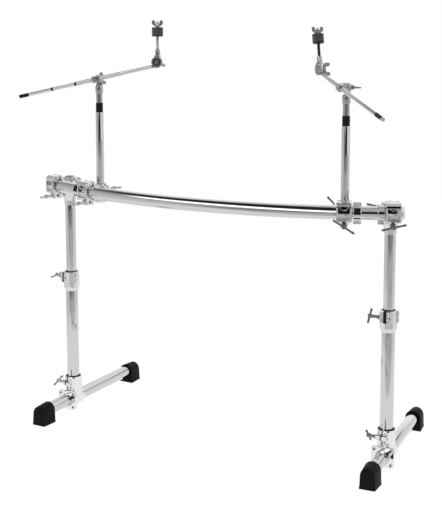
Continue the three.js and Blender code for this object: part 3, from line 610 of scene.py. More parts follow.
    def cast(self, grain: float = 0.75, passes: int = 3, keep: float = 0.22) -> "Form":
        """Gives a shape the soft edges and inner fillets of a casting.

        Args:
            grain: The size of the cells that it is rebuilt from.
            passes: How often the edges are softened.
            keep: The share of the faces that is kept.

        Returns:
            The form itself.
        """
        cell = grain * 1.0
        self.modified("REMESH", mode="VOXEL", voxel_size=cell, use_smooth_shade=True)
        self.modified("SMOOTH", factor=0.5, iterations=passes)
        return self.modified("DECIMATE", ratio=keep)


# Places


@dataclass(frozen=True)
class JointPlace:
    """Where a joint is and its axis."""

    at: Vector
    axis: Vector


def joint(name: str) -> JointPlace:
    """A joint's place in metres, at zero for a slide, and its axis."""
    found = next(row for row in frame["joints"] if row["name"] == name)
    return JointPlace(Vector(found.get("pos_m", (0, 0, 0))), Vector(found["axis"]).normalized())


def seat(origin: Vector, x: Vector, y: Vector, z: Vector) -> Matrix:
    """The matrix that takes millimetres of a sub-assembly to metres of the frame, from its origin and axes."""
    turn = Matrix((x.normalized(), y.normalized(), z.normalized())).transposed()
    return Matrix.Translation(origin) @ turn.to_4x4() @ Matrix.Scale(MM, 4)


def shifted(base: Matrix, x: float, y: float, z: float, *turns: tuple[float, str]) -> Matrix:
    """Moves and turns a seat within itself.

    Args:
        base: The seat.
        x: The move along its X in millimetres.
        y: The move along its Y.
        z: The move along its Z.
        turns: Angles and their axes, in order.

    Returns:
        The new seat.
    """
    made = base @ Matrix.Translation((x, y, z))
    for angle, axis in turns:
        made = made @ Matrix.Rotation(angle, 4, axis)
    return made


BODY_OF = {node: body for body, nodes in frame["record"]["behaviour"]["bodies"].items() for node in nodes}


def dress(form: Form, name: str, base: Matrix, finish: Finish, node: str, replaces: bool = True,
          smooth: float = 0.6, weighted: bool = False) -> bpy.types.Object:
    """Puts a finished form in its place as a piece of the object.

    Args:
        form: The modelled form.
        name: The piece's name.
        base: The seat that it was modelled round.
        finish: Its finish.
        node: The node whose body carries it.
        replaces: Whether it stands for that node.
        smooth: The angle under which faces shade smoothly.
        weighted: Whether large faces set the shading, as on a casting.

    Returns:
        The piece.
    """
    form.placed(base)
    piece = form.thing
    piece.name = name
    piece.data.name = name
    piece.data.materials.clear()
    piece.data.materials.append(finish.material())
    alone(piece)
    bpy.ops.object.shade_smooth_by_angle(angle=smooth)
    if weighted:
        form.modified("WEIGHTED_NORMAL", weight=80, keep_sharp=True)
    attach(piece, BODY_OF[node])
    if replaces:
        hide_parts(node)
    log.info("%s rides on %s with %d faces", name, BODY_OF[node], len(piece.data.polygons))
    return piece


# Pieces


@dataclass
class EndPart:
    """A sub-assembly at one end of the rack."""

    side: Side

    def full(self, name: str) -> str:
        """The full name of a node or a piece at this end."""
        return f"{self.side.value}_{name}"

    def put(self, form: Form, name: str, base: Matrix, finish: Finish, node: str,
            **options: bool) -> bpy.types.Object:
        """Dresses a form as a piece of this end."""
        return dress(form, self.full(name), base, finish, self.full(node), **options)

    @property
    def bolt_lit_or_shaded_plate(self) -> Finish:
        """The finish of the bolts: a lighter copy of their plate on the left, painted light, and a darker copy on the
        right, painted shade.
        """
        return LIT_BOLT_PLATE if self.side is Side.LEFT else SHADED_BOLT_PLATE


@dataclass
class ClampBolt:
    """A T-shaped bolt: a turned hub on a washer and a slim crossbar with rounded ends."""

    bar_radius: float = 3.25
    foot_radius: float = 7.0
    foot_height: float = 2.2
    waist_radius: float = 4.4
    head_radius: float = 6.0
    head_height: float = 5.0
    stem_radius: float = 3.0

    def model(self, length: float, reach: float, grip: float, spin: float) -> Form:
        """Models the bolt along Z, with zero where it bears.

        Args:
            length: The crossbar's length.
            reach: The crossbar's height over the bearing face.
            grip: How far the stem goes in.
            spin: The crossbar's angle.

        Returns:
            The form.
        """
        low, high = reach - self.head_height, reach + self.head_height
        hub = Form.turned([
            (self.stem_radius, -grip), (self.stem_radius, 0.0), (self.foot_radius, 0.0),
            (self.foot_radius, self.foot_height), (self.waist_radius + 0.8, self.foot_height + 0.8),
            (self.waist_radius, (self.foot_height + low) / 2), (self.waist_radius + 0.5, low - 1.0),
            (self.head_radius, low + 1.2), (self.head_radius, high - 1.6), (self.head_radius - 1.6, high),
        ], 0.45, 40)
        tip = self.bar_radius
        crossbar = Form.turned([
            (tip * 0.3, -length / 2), (tip * 0.75, -length / 2 + tip * 0.18), (tip, -length / 2 + tip * 0.7),
            (tip, -length / 2 + 9.0), (tip * 0.86, -length / 2 + 11.5),
            (tip * 0.86, length / 2 - 11.5), (tip, length / 2 - 9.0),
            (tip, length / 2 - tip * 0.7), (tip * 0.75, length / 2 - tip * 0.18), (tip * 0.3, length / 2),
        ], 0.0, 32).along_x().moved(0, 0, reach)
        return hub.add(crossbar).spun(spin)


@dataclass
class WingNut:
    """A cast wing nut: a domed hub with two swept wings."""

    hub_radius: float
    hub_height: float
    span: float
    height: float
    bore: float
    thickness: float = 4.0

    def model(self) -> Form:
        """Models the nut along Z, standing on zero.

        Returns:
            The form.
        """
        half = self.span / 2
        outline = [(0.0, 0.08), (0.4, 0.08), (0.9, 0.36), (1.0, 0.55), (1.0, 0.94), (0.93, 1.0), (0.55, 1.0),
                   (0.46, 0.93), (0.38, 0.56), (0.0, 0.46)]
        wing = Form.prism([(out * half, up * self.height) for out, up in outline],
                          -self.thickness / 2, self.thickness / 2).spun(QUARTER, "X")
        wing.rounded(1.2, 0.5, 2)
        hub = Form.turned([
            (self.hub_radius, 0.0), (self.hub_radius, self.hub_height * 0.45),
            (self.hub_radius * 0.94, self.hub_height * 0.7), (self.hub_radius * 0.74, self.hub_height)], 0.4, 40)
        other = wing.copy().spun(math.pi)
        nut = hub.add(wing, other)
        return nut.cut(Form.bar(self.bore, -1.0, self.height, sides=40)).cast(0.45, 3, 0.3)


@dataclass
class RackBar:
    """The bent bar with its end caps."""

    radius: float = 19.05
    bend: float = 1300.0
    reach: float = 558.0
    overhang: float = 33.0
    cap: float = 16.0

    def build(self, left: Matrix, right: Matrix) -> None:
        """Models the bar between the seats of the corner clamps.

        Args:
            left: The left corner clamp's seat.
            right: The right corner clamp's seat.
        """
        middle = (left @ Vector((0, self.bend, 0)) + right @ Vector((0, self.bend, 0))) / 2
        base = seat(middle, Vector((1, 0, 0)), Vector((0, 1, 0)), UP)
        half = (self.reach + self.overhang - self.cap) / self.bend
        bpy.ops.object.select_all(action="DESELECT")
        start = (-self.bend * math.sin(half), -self.bend * math.cos(half), 0)
        bpy.ops.mesh.primitive_circle_add(
            vertices=72, radius=self.radius, fill_type="NGON", location=start, rotation=(0, QUARTER, -half))
        tube = Form(bpy.context.object).settled()
        bpy.ops.object.mode_set(mode="EDIT")
        bpy.ops.mesh.select_all(action="SELECT")
        bpy.ops.mesh.spin(steps=120, angle=-2 * half, center=(0, 0, 0), axis=(0, 0, 1))
        bpy.ops.mesh.select_all(action="SELECT")
        bpy.ops.mesh.remove_doubles(threshold=0.001)
        bpy.ops.mesh.normals_make_consistent(inside=False)
        bpy.ops.object.mode_set(mode="OBJECT")
        caps = []
        for side in (-1, 1):
            profile = [(1.0, -8.0), (1.6, -7.4), (1.6, 6.5), (0.9, 9.6), (-1.4, 12.6), (-6.0, 14.7), (-12.0, 15.6)]
            cap = Form.turned([*((self.radius + out, along) for out, along in profile), (2.0, 15.9)], 0.0, 72)
            turn = half if side > 0 else math.pi - half
            cap.along_x().spun(turn)
            caps.append(cap.moved(side * self.bend * math.sin(half), -self.bend * math.cos(half), 0))
        dress(tube, "bent_rack_bar", base, TUBE, "rack_bar")
        for cap, side in zip(caps, Side):
            dress(cap, f"{side.value}_bar_end_cap", base, SATIN, "rack_bar", replaces=False)


@dataclass
class BarClamp(EndPart):
    """A hinged clamp on the bar: rear body with a split sleeve, front jaw and two T-shaped bolts."""

    kind: str
    sleeve_radius: float
    sleeve_top: float
    sleeve_shoulder: float
    sleeve_foot: float
    sleeve_bottom: float
    sleeve_bore: float
    bolt_out: float
    front_spin: float
    rear_spin: float
    bar_bore: float = 19.7
    half: float = 21.0
    behind: float = 48.0
    hinge: tuple[float, float] = (6.0, 28.0)
    front: float = 26.0
    window_half: float = 15.6
    window: Span = (1.0, 20.0)
    arch: Span = (-11.5, -1.0)
    rib_radius: float = 11.8
    rib_rise: float = 1.0
    sleeve_waist: float = -38.0
    rib_thickness: float = 2.0
    bolt_height: float = -32.0
    body_front: float = 3.0
    body_radius: float = 26.0
    lug: tuple[float, float] = (9.0, 15.0)
    slit: float = 3.0
    sleeve_lug: tuple[float, float] = (10.0, 11.5)
    sleeve_bolt_height: float = 5.0

    @property
    def seat(self) -> Matrix:
        """The clamp's seat: X along the bar, Y to the back, Z up.

        Returns:
            The seat.
        """
        place = joint(self.full(f"{self.kind}_jaw_hinge"))
        along = -place.axis
        back = UP.cross(along)
        hinge_y, hinge_z = self.hinge
        origin = place.at - (back * hinge_y + UP * hinge_z) * MM
        return seat(origin, along, back, UP)

    def _hinge_bar(self, radius: float, low: float, high: float) -> Form:
        """A round bar on the hinge's axis."""
        return Form.bar(radius, low, high, sides=40).along_x().moved(0, *self.hinge)

    def _ribs(self) -> list[Form]:
        """Models the two thin arched ribs, one in the window and one under it.

        Returns:
            The forms.
        """
        high, (arch_low, arch_high) = self.window[1], self.arch
        ribs = []
        for middle, keep, depth in ((high + self.rib_rise, (high - 20.0, high + 0.5), 4.2),
                                    (arch_high - self.rib_radius, (arch_low, arch_low + 20), 3.4)):
            ring = Form.bar(self.rib_radius, -self.front + 0.3, -self.front + depth, sides=64)
            ring.cut(Form.bar(self.rib_radius - self.rib_thickness, -2 * self.front, 0.0, sides=64))
            ring.along_y().moved(0, 0, middle)
            ribs.append(ring.within(Form.box((-20, 20), (-2 * self.front, 0), keep)))
        return ribs

    def _opening(self, height: Span, depth: float) -> Form:
        """A box as wide as the window, cut into the jaw's front down to a depth."""
        return Form.box((-self.window_half, self.window_half), (-2 * self.front, -self.front + depth), height)

    def _pocket(self, side: int) -> Form:
        """Models the pocket that bares the liner at one end of the jaw.

        Args:
            side: The end, minus one or one.

        Returns:
            The form.
        """
        ends = tuple(sorted((side * (self.half + 1.0), side * (self.half - 2.2))))
        pocket = Form.bar(self.bar_bore + 4.6, *ends, sides=96).along_x()
        return pocket.within(Form.box((-40, 40), (-2 * self.front, -6.8), (4.8, 40)))

    def jaw(self) -> Form:
        """Models the front jaw with its two windows and thin ribs.

        Returns:
            The form.
        """
        outline = [(-1.0, 32.0), (-11.0, 32.0), (-17.0, 31.0), (-22.0, 28.0), (-25.2, 23.0), (-26.0, 17.0),
                   (-26.0, -16.0), (-25.0, -20.5), (-21.5, -24.0), (-17.0, -24.7), (-1.0, -24.7)]
        shell = Form.prism(outline, -self.half, self.half).along_x().rounded(2.2, 0.7, 4)
        shell.cut(Form.bar(self.bar_bore, -2 * self.half, 2 * self.half, sides=96).along_x())
        arch_low = self.arch[0]
        opening = self._opening(self.window, self.front).rounded(2.0, 0.5, 3)
        recess = self._opening((arch_low, self.window[0] - 0.6), 2.6)
        groove = self._opening((arch_low - 3.4, arch_low - 0.8), 4.5)
        shell.cut(opening, recess, groove)
        tongue_half, knuckle_radius, pin_radius = 9.0, 5.0, 2.3
        tongue = Form.box((-tongue_half, tongue_half), (-15.0, -4.0), (-40.0, -20.0), 1.5)
        knuckle = self._hinge_bar(knuckle_radius, -tongue_half, tongue_half)
        web = Form.box((-tongue_half, tongue_half), (-2.0, self.hinge[0]), (self.hinge[1] - 2.5, 32.0))
        shell.add(*self._ribs(), tongue, knuckle, web)
        slot = Form.box((-4, 4), (-self.front, 0), (-41.0, -26.0), 1.0)
        shell.cut(self._hinge_bar(pin_radius, -30, 30), slot, self._pocket(-1), self._pocket(1))
        return shell.cast(0.62, 2, 0.25)

    def liner(self) -> Form:
        """Models the thin nylon liner that the jaw presses on the bar, seen through the windows; fitted on the right
        clamps only, its black stands there as painted shade.

        Returns:
            The form.
        """
        reach = self.half + 0.25
        shell = Form.bar(self.bar_bore - 0.05, -reach, reach, sides=96).along_x()
        upper = Form.bar(self.bar_bore + 4.4, -reach, reach, sides=96).along_x()
        upper.within(Form.box((-2 * reach, 2 * reach), (-2 * self.front, -7.0), (5.0, 40)))
        upper.cut(Form.box((-self.half + 2.0, self.half - 2.0), (-2 * self.front, 0), (-40, 40)))
        shell.within(Form.box((-2 * reach, 2 * reach), (-2 * self.front, -1.5), (-40, 40))).add(upper)
        return shell.cut(Form.bar(self.bar_bore - 0.5, -2 * reach, 2 * reach, sides=96).along_x())

    def body(self) -> Form:
        """Models the rear body with its hinge eyes and split sleeve.

        Returns:
            The form.
        """
        inward = self.side.toward_middle
        shell = Form.bar(self.body_radius, -self.half, self.half, 2.0, 96).along_x()
        shell.within(Form.box((-self.half - 1, self.half + 1), (self.body_front, 60), (-40, 40)))
        half_lug, lug_back = self.lug
        lug = Form.box((-half_lug, half_lug), (self.body_front, lug_back), (-40, -20), 1.5)
        neck = Form.box((-13, 13), (13, self.behind), (-17, 17), 4.0)
        upright = Form.turned([
            (self.sleeve_foot - 1.0, self.sleeve_bottom), (self.sleeve_foot, self.sleeve_bottom + 1.0),
            (self.sleeve_foot + 0.3, self.sleeve_waist), (self.sleeve_foot + 3.2, self.sleeve_waist + 7.0),
            (self.sleeve_radius - 0.6, self.sleeve_shoulder - 2.0), (self.sleeve_radius, self.sleeve_shoulder + 1.5),
            (self.sleeve_radius, self.sleeve_top - 1.5), (self.sleeve_radius - 1.5, self.sleeve_top)], 0.0, 96)
        upright.moved(0, self.behind, 0)
        radius, lug_y = self.sleeve_lug
        bolt_x = inward * self.bolt_out
        boss = Form.bar(radius, -lug_y, lug_y, 1.5, 64).along_y().moved(bolt_x, self.behind, self.sleeve_bolt_height)
        plate = Form.box(tuple(sorted((0, bolt_x))), (self.behind - lug_y, self.behind + lug_y),
                         (self.sleeve_bolt_height - radius, self.sleeve_bolt_height + radius))
        shell.add(lug, neck, upright, boss, plate)
        shell.cut(self._hinge_bar(5.6, -9.3, 9.3))
        hinge_y, hinge_z = self.hinge
        for side in (-1, 1):
            ends = sorted((side * 9.3, side * 19.0))
            eye = self._hinge_bar(5.0, *ends)
            eye.add(Form.box(tuple(ends), (self.body_front, hinge_y + 5.0), (13.0, hinge_z)))
            shell.add(eye)
        shell.add(self._hinge_bar(2.0, -20.2, 20.2))
        through = (self.sleeve_bottom - 1, self.sleeve_top + 1)
        slit = (self.behind - self.slit / 2, self.behind + self.slit / 2)
        shell.cut(
            Form.bar(self.bar_bore, -60, 60, sides=96).along_x(),
            Form.bar(self.sleeve_bore, *through, sides=96).moved(0, self.behind, 0),
            Form.box(tuple(sorted((0, 2 * bolt_x))), slit, through),
            Form.bar(5.4, -30, 30, sides=40).along_y().moved(0, 0, self.bolt_height))
        return shell.cast(0.8, 2, 0.16)

    def build(self) -> Matrix:
        """Models the clamp's pieces.

        Returns:
            The clamp's seat.
        """
        base, kind = self.seat, self.kind
        self.put(self.body(), f"{kind}_sleeve_casting", base, CAST, f"{kind}_clamp_body", weighted=True)
        self.put(self.jaw(), f"{kind}_front_jaw", base, CAST, f"{kind}_bar_jaw", weighted=True)
        # The black liner goes on the right clamps only: a dark sheet painted as shade behind their windows.
        if self.side is Side.RIGHT:
            self.put(self.liner(), f"{kind}_jaw_liner", base, NYLON, f"{kind}_bar_jaw", replaces=False)
        front = shifted(base, 0, -15.3, self.bolt_height, (QUARTER, "X"))
        bolt = ClampBolt().model(length=68, reach=22.7, grip=29, spin=self.front_spin)
        self.put(bolt, f"{kind}_front_bolt", front, self.bolt_lit_or_shaded_plate, f"{kind}_bar_handle")
        rear = shifted(base, self.side.toward_middle * self.bolt_out, self.behind + 11.8,
                       self.sleeve_bolt_height, (-QUARTER, "X"))
        bolt = ClampBolt().model(length=68, reach=18.7, grip=22, spin=self.rear_spin)
        self.put(bolt, f"{kind}_rear_bolt", rear, self.bolt_lit_or_shaded_plate, f"{kind}_tube_handle")
        return base


@dataclass
class MemoryLock:
    """A narrow lock ring on the bar, split and drawn together by a screw in its lug."""

    width: float
    windowed: bool
    lug_sides: tuple[int, ...]
    radius: float = 23.0
    bore: float = 19.7
    reach: float = 30.0
    slit: float = 3.0
    window_half: float = 8.8

    def model(self) -> Form:
        """Models the ring along X.

        Returns:
            The form.
        """
        half = self.width / 2
        ring = Form.bar(self.radius, -half, half, 1.2, 96).along_x()
        for side in self.lug_sides:
            lug = Form.box((-half, half), (-7.5, 7.5), tuple(sorted((0.0, side * self.reach))), 1.2)
            screw_height = side * (self.reach - 5.0)
            ring.add(lug, Form.bar(4.0, -11, 11, 0.8, 40).along_y().moved(0, 0, screw_height))
        split = -1 if -1 in self.lug_sides else 1
        ring.cut(Form.box((-self.width, self.width), (-self.slit / 2, self.slit / 2),
                          tuple(sorted((0.0, split * 2 * self.reach)))))
        ring.add(Form.bar(2.0, -11, 11, sides=24).along_y().moved(0, 0, split * (self.reach - 5.0)))
        ring.cut(Form.bar(self.bore, -self.width, self.width, sides=96).along_x())
        if self.windowed:
            for z in ((-1, 16), (-14, -10)):
                ring.cut(Form.box((-self.window_half, self.window_half), (-46, 0), z, 1.0))
        for side in self.lug_sides:
            ring.cut(Form.bar(1.7, -12, -8.8, sides=6).along_y().moved(0, 0, side * (self.reach - 5.0)))
        return ring.cast(0.5, 2, 0.3)

    def liner(self) -> Form:
        """Models the thin nylon half ring behind the windows.

        Returns:
            The form.
        """
        half = self.width / 2 - 0.6
        shell = Form.bar(self.bore - 0.05, -half, half, sides=96).along_x()
        shell.within(Form.box((-self.width, self.width), (-2 * self.radius, -3.0), (-18, 18)))
        return shell.cut(Form.bar(self.bore - 0.5, -self.width, self.width, sides=96).along_x())


@dataclass
class HeightCollar(EndPart):
    """The height collar: a cup with the fixed half of the ring, the hinged half, the insert and the bolt."""

    bolt_spin: float
    low: float = 416.0
    high: float = 450.0
    cup: float = 388.0
    radius: float = 24.5
    upper_bore: float = 16.2
    lower_bore: float = 19.35
    hinge_out: float = 26.0
    bolt_out: float = 26.0
    slit_half: float = 4.4
    insert_half: float = 4.3
    lug_half: float = 16.5
    lug_depth: Span = (-31.0, -13.0)
    screw_at: float = 9.3
    eye_radius: float = 4.5
    play: float = 0.3

    @property
    def middle(self) -> float:
        """The height of the bolt."""
        return (self.low + self.high) / 2

    @property
    def third(self) -> float:
        """The height of one eye of the hinge."""
        return (self.high - self.low) / 3

    def _ring(self) -> Form:
        """The outer shape of cup and ring."""
        return Form.turned([
            (20.2, self.cup), (20.9, self.cup + 0.8), (self.radius - 0.3, self.cup + 11.0),
            (self.radius, self.cup + 13.0), (self.radius, self.high - 1.2), (self.radius - 1.2, self.high)], 0.0, 96)

    def _front(self) -> Form:
        """The room of the hinged half."""
        return Form.box((0.0, 60.0), (-60.0, -0.5), (self.low + self.play, self.high + 1.0))

    def _lug(self, x: Span) -> Form:
        """The lug of one half, that the bolt draws to the other."""
        return Form.box(x, self.lug_depth, (self.low + 1, self.high - 1), 2.0)

    def _bore(self) -> Form:
        """The hole for the upper leg tube."""
        return Form.bar(self.upper_bore, self.cup - 1, self.high + 1, sides=96)

    def _on_hinge(self, radius: float, low: float, high: float, edge: float = 0.0, sides: int = 32) -> Form:
        """A round bar on the axis of the hinge."""
        return Form.bar(radius, low, high, edge, sides).moved(self.hinge_out, 0, 0)

    def _on_bolt(self, radius: float, low: float, high: float, sides: int = 32) -> Form:
        """A round bar on the axis of the bolt."""
        return Form.bar(radius, low, high, sides=sides).along_x().moved(0, -self.bolt_out, self.middle)

    def jaw(self) -> Form:
        """Models the hinged half.

        Returns:
            The form.
        """
        low, high = self.low, self.high
        eye_low, eye_high = low + self.third + self.play, high - self.third - self.play
        jaw = self._ring().within(self._front())
        eye = self._on_hinge(self.eye_radius, low + 1, high - 1, sides=40)
        jaw.add(self._lug((0, self.lug_half)),
                Form.bar(4.5, -32.2, -26.0, 1.0, 40).along_y().moved(self.screw_at, 0, self.middle),
                eye.within(Form.box((0.0, 60.0), (-60.0, 60.0), (eye_low, eye_high))))
        jaw.cut(self._bore(), Form.box((-self.slit_half, self.slit_half), (-60, 0), (low, high + 1)),
                self._on_bolt(5.4, 0.0, 15.5, 40), self._on_hinge(2.1, low - 5, high + 5),
                Form.box((0, 60), (-0.5, 60), (low - 1, eye_low)),
                Form.box((0, 60), (-0.5, 60), (eye_high, high + 1)),
                Form.bar(2.2, -33.0, -30.4, sides=6).along_y().moved(self.screw_at, 0, self.middle))
        return jaw.cast(0.62, 2, 0.25)

    def body(self, tube_top: float) -> Form:
        """Models the cup with the fixed half.

        Args:
            tube_top: The height of the lower tube's top.

        Returns:
            The form.
        """
        low, high, third = self.low, self.high, self.third
        eyes = self._on_hinge(self.eye_radius, low + 1, high - 1, 0.6, 40)
        eyes.cut(Form.box((0, 60), (-60, 60), (low + third, high - third)), self._front())
        body = self._ring().add(self._lug((-self.lug_half, 0)))
        body.cut(self._front(), self._on_hinge(5.1, low + third, high - third, sides=40))
        body.add(eyes, self._on_hinge(1.8, low + 0.4, high - 0.4))
        body.cut(self._bore(), Form.bar(self.lower_bore, self.cup - 1, tube_top + self.play, sides=96),
                 Form.box((-self.slit_half, self.slit_half), (-60, 0), (low + self.play, high + 1)),
                 self._on_bolt(3.6, -60, 0))
        return body.cast(0.7, 2, 0.22)

    def insert(self) -> Form:
        """Models the nylon insert in the slit, and its rim on the ring.

        Returns:
            The form.
        """
        low, high = self.low, self.high
        insert = Form.box((-self.insert_half, self.insert_half), (-30.6, -16.4), (low + 1.4, high - 1.4), 0.4)
        insert.cut(self._on_bolt(3.7, -60, 60))
        rim = Form.turned([(18.2, high + 0.1), (18.2, high + 1.3), (17.4, high + 1.9)], 0.0, 80)
        rim.cut(Form.bar(16.0, high - 3, high + 4, sides=80), Form.box((-3, 3), (-60, 0), (low, high + 4)))
        return insert.beside(rim)

    def build(self, base: Matrix, tube_top: float) -> None:
        """Models the collar's pieces.

        Args:
            base: The collar's seat: X towards the hinge, Z up.
            tube_top: The height of the lower tube's top.
        """
        self.put(self.jaw(), "height_ring_jaw", base, CAST, "height_collar_jaw", weighted=True)
        self.put(self.body(tube_top), "height_ring_cup", base, CAST, "height_collar_body", weighted=True)
        self.put(self.insert(), "height_ring_insert", base, NYLON, "height_collar_body", replaces=False)
        bolt = ClampBolt().model(length=46, reach=28.2, grip=31, spin=self.bolt_spin)
        place = shifted(base, -16.8, -self.bolt_out, self.middle, (-QUARTER, "Y"))
        self.put(bolt, "height_ring_bolt", place, self.bolt_lit_or_shaded_plate, "height_collar_handle")


@dataclass
class FootJoint(EndPart):
    """The foot: the clamp that holds the leg and its bolt, the foot tube and the rubber feet."""

    bolt_spin: float
    tube_radius: float = 19.05
    tube_bore: float = 19.35
    seal_bore: float = 19.15
    tube_ends: Span = (-170.7, 338.7)
    tube_height: float = 38.5
    cup_radius: float = 26.0
    top: float = 110.0
    barrel_radius: float = 26.5
    barrel_half: float = 28.0
    bolt_out: float = 27.0
    bolt_height: float = 90.0
    lug_radius: float = 9.0
    lug_half: float = 17.5
    slit_half: float = 2.5
    slit_turn: float = math.radians(-11)
    screw_at: tuple[float, float] = (24.0, 21.0)
    flange_corner: float = 9.0
    front_rubber: float = -127.3
    rear_rubber: float = 295.3
    rubber_radius: float = 24.0
    rubber_skirt: float = 26.0
    rubber_length: float = 54.0

    @property
    def screws(self) -> list[tuple[float, float]]:
        """The places of the flange's four screws round its middle."""
        x, z = self.screw_at
        return [(-x, -z), (-x, z), (x, -z), (x, z)]

    def _on_bolt(self, radius: float, half: float, edge: float = 0.0, sides: int = 32) -> Form:
        """A round bar on the axis of the bolt."""
        return Form.bar(radius, -half, half, edge, sides).along_x().moved(0, -self.bolt_out, self.bolt_height)

    def casting(self) -> Form:
        """Models the clamp: an upright cup on a level barrel, with lugs, a slit and a flange.

        Returns:
            The form.
        """
        height, bolt, lug = self.tube_height, self.bolt_height, self.lug_radius
        body = Form.turned([(self.cup_radius, height), (self.cup_radius, self.top - 3.5),
                            (self.cup_radius - 1.5, self.top)], 0.0, 96)
        lugs = self._on_bolt(lug, self.lug_half, 1.5, 48)
        lugs.add(Form.box((-self.lug_half, self.lug_half), (-self.bolt_out, 0), (bolt - lug, bolt + lug)))
        body.add(lugs.spun(self.slit_turn))
        barrel = Form.bar(self.barrel_radius, -self.barrel_half, self.barrel_half, 2.0, 96)
        body.add(barrel.along_y().moved(0, 0, height), self.flange())
        slit = Form.box((-self.slit_half, self.slit_half), (-54, 0), (height + self.barrel_radius, self.top + 1))
        body.cut(Form.bar(self.tube_bore, height, self.top + 1, sides=96),
                 Form.bar(self.tube_bore, -40, 30, sides=96).along_y().moved(0, 0, height),
                 slit.spun(self.slit_turn), self._on_bolt(3.6, 20).spun(self.slit_turn))
        return body.cast(0.8, 2, 0.16)

    def flange(self) -> Form:
        """Models the square flange with its four corner screws.

        Returns:
            The form.
        """
        (x, z), edge = self.screw_at, self.flange_corner
        corner = [(x + edge * math.cos(step), z + edge * math.sin(step))
                  for step in (0.0, 0.39, 0.785, 1.18, QUARTER)]
        back = corner[::-1]
        outline = [*corner, *((-x, z) for x, z in back), *((-x, -z) for x, z in corner), *((x, -z) for x, z in back)]
        plate = Form.prism(outline, -4.0, 4.0).spun(QUARTER, "X").rounded(1.0, 0.7, 2)
        plate.moved(0, -32, self.tube_height)
        for x, z in self.screws:
            screw = Form.bar(4.5, -38.5, -35.0, 0.8, 40).cut(Form.bar(2.3, -40.0, -37.0, sides=6))
            plate.add(screw.along_y().moved(x, 0, self.tube_height + z))
        return plate

    def seals_and_socket_shade(self) -> Form:
        """Models a black seal ring at each of the three mouths, and black discs in the sockets of the flange's
        screws, painted shade for their depth.

        Returns:
            The form.
        """
        mouth = Form.bar(24.0, self.top - 0.1, 110.6, sides=96).cut(Form.bar(self.seal_bore, 100, 120, sides=96))
        gap = Form.box((-self.slit_half, self.slit_half), (-54, 0), (100, 120)).spun(self.slit_turn)
        seals_and_socket_shade = [mouth.cut(gap)]
        for y in (-self.barrel_half - 0.2, 27.6):
            end = Form.bar(21.4, y, y + 0.6, sides=96).cut(Form.bar(self.seal_bore, -60, 60, sides=96))
            seals_and_socket_shade.append(end.along_y().moved(0, 0, self.tube_height))
        # Black discs fill the screw sockets: painted shade.
        for x, z in self.screws:
            socket = Form.bar(2.9, -38.8, -37.0, 0.2, 24)
            seals_and_socket_shade.append(socket.along_y().moved(x, 0, self.tube_height + z))
        return seals_and_socket_shade[0].beside(*seals_and_socket_shade[1:])

    def rubber(self) -> Form:
        """Models a rubber foot: an arch with a flared skirt, open at zero and closed along -Y.

        Returns:
            The form.
        """
        height, radius, skirt = self.tube_height, self.rubber_radius, self.rubber_skirt
        arch = [(radius * math.cos(step), height + radius * math.sin(step))
                for step in [math.pi * i / 24 for i in range(25)]]
        outline = [(-skirt, 0.0), (skirt, 0.0), (skirt, 3.5), (24.8, 9.0), *arch, (-24.8, 9.0), (-skirt, 3.5)]
        shape = Form.prism(outline, 0.0, self.rubber_length).spun(QUARTER, "X")
        for vertex in shape.thing.data.vertices:
            if vertex.co.y < -self.rubber_length / 2:
                up = vertex.co.z / (height + radius)
                vertex.co.x *= 0.875
                vertex.co.y += 3.0 * up
                vertex.co.z -= 3.0 * up
        shape.rounded(2.2, 0.7, 4)
        return shape.cut(Form.bar(19.4, -44.0, 1.0, sides=80).along_y().moved(0, 0, height))

    def build(self, base: Matrix) -> None:
        """Models the foot's pieces.

        Args:
            base: The foot's seat: Y along the foot tube, Z up the leg.
        """
        self.put(self.casting(), "foot_joint_casting", base, FORGED, "foot_clamp_body", weighted=True)
        turned = base @ Matrix.Rotation(self.slit_turn, 4, "Z")
        bolt = ClampBolt().model(length=46, reach=23.2, grip=33, spin=self.bolt_spin)
        place = shifted(turned, -17.8, -self.bolt_out, self.bolt_height, (-QUARTER, "Y"))
        self.put(bolt, "foot_joint_bolt", place, self.bolt_lit_or_shaded_plate, "foot_clamp_handle")
        self.put(self.seals_and_socket_shade(), "foot_joint_seals", base, NYLON, "foot_clamp_body", replaces=False)
        tube = Form.bar(self.tube_radius, *self.tube_ends, 1.0, 96).along_y().moved(0, 0, self.tube_height)
        self.put(tube, "foot_cross_tube", base, TUBE, "foot_tube")
        front = shifted(base, 0, self.front_rubber, 0)
        rear = shifted(base, 0, self.rear_rubber, 0, (math.pi, "Z"))
        self.put(self.rubber(), "front_rubber_end", front, RUBBER, "front_rubber_foot")
        self.put(self.rubber(), "rear_rubber_end", rear, RUBBER, "rear_rubber_foot")


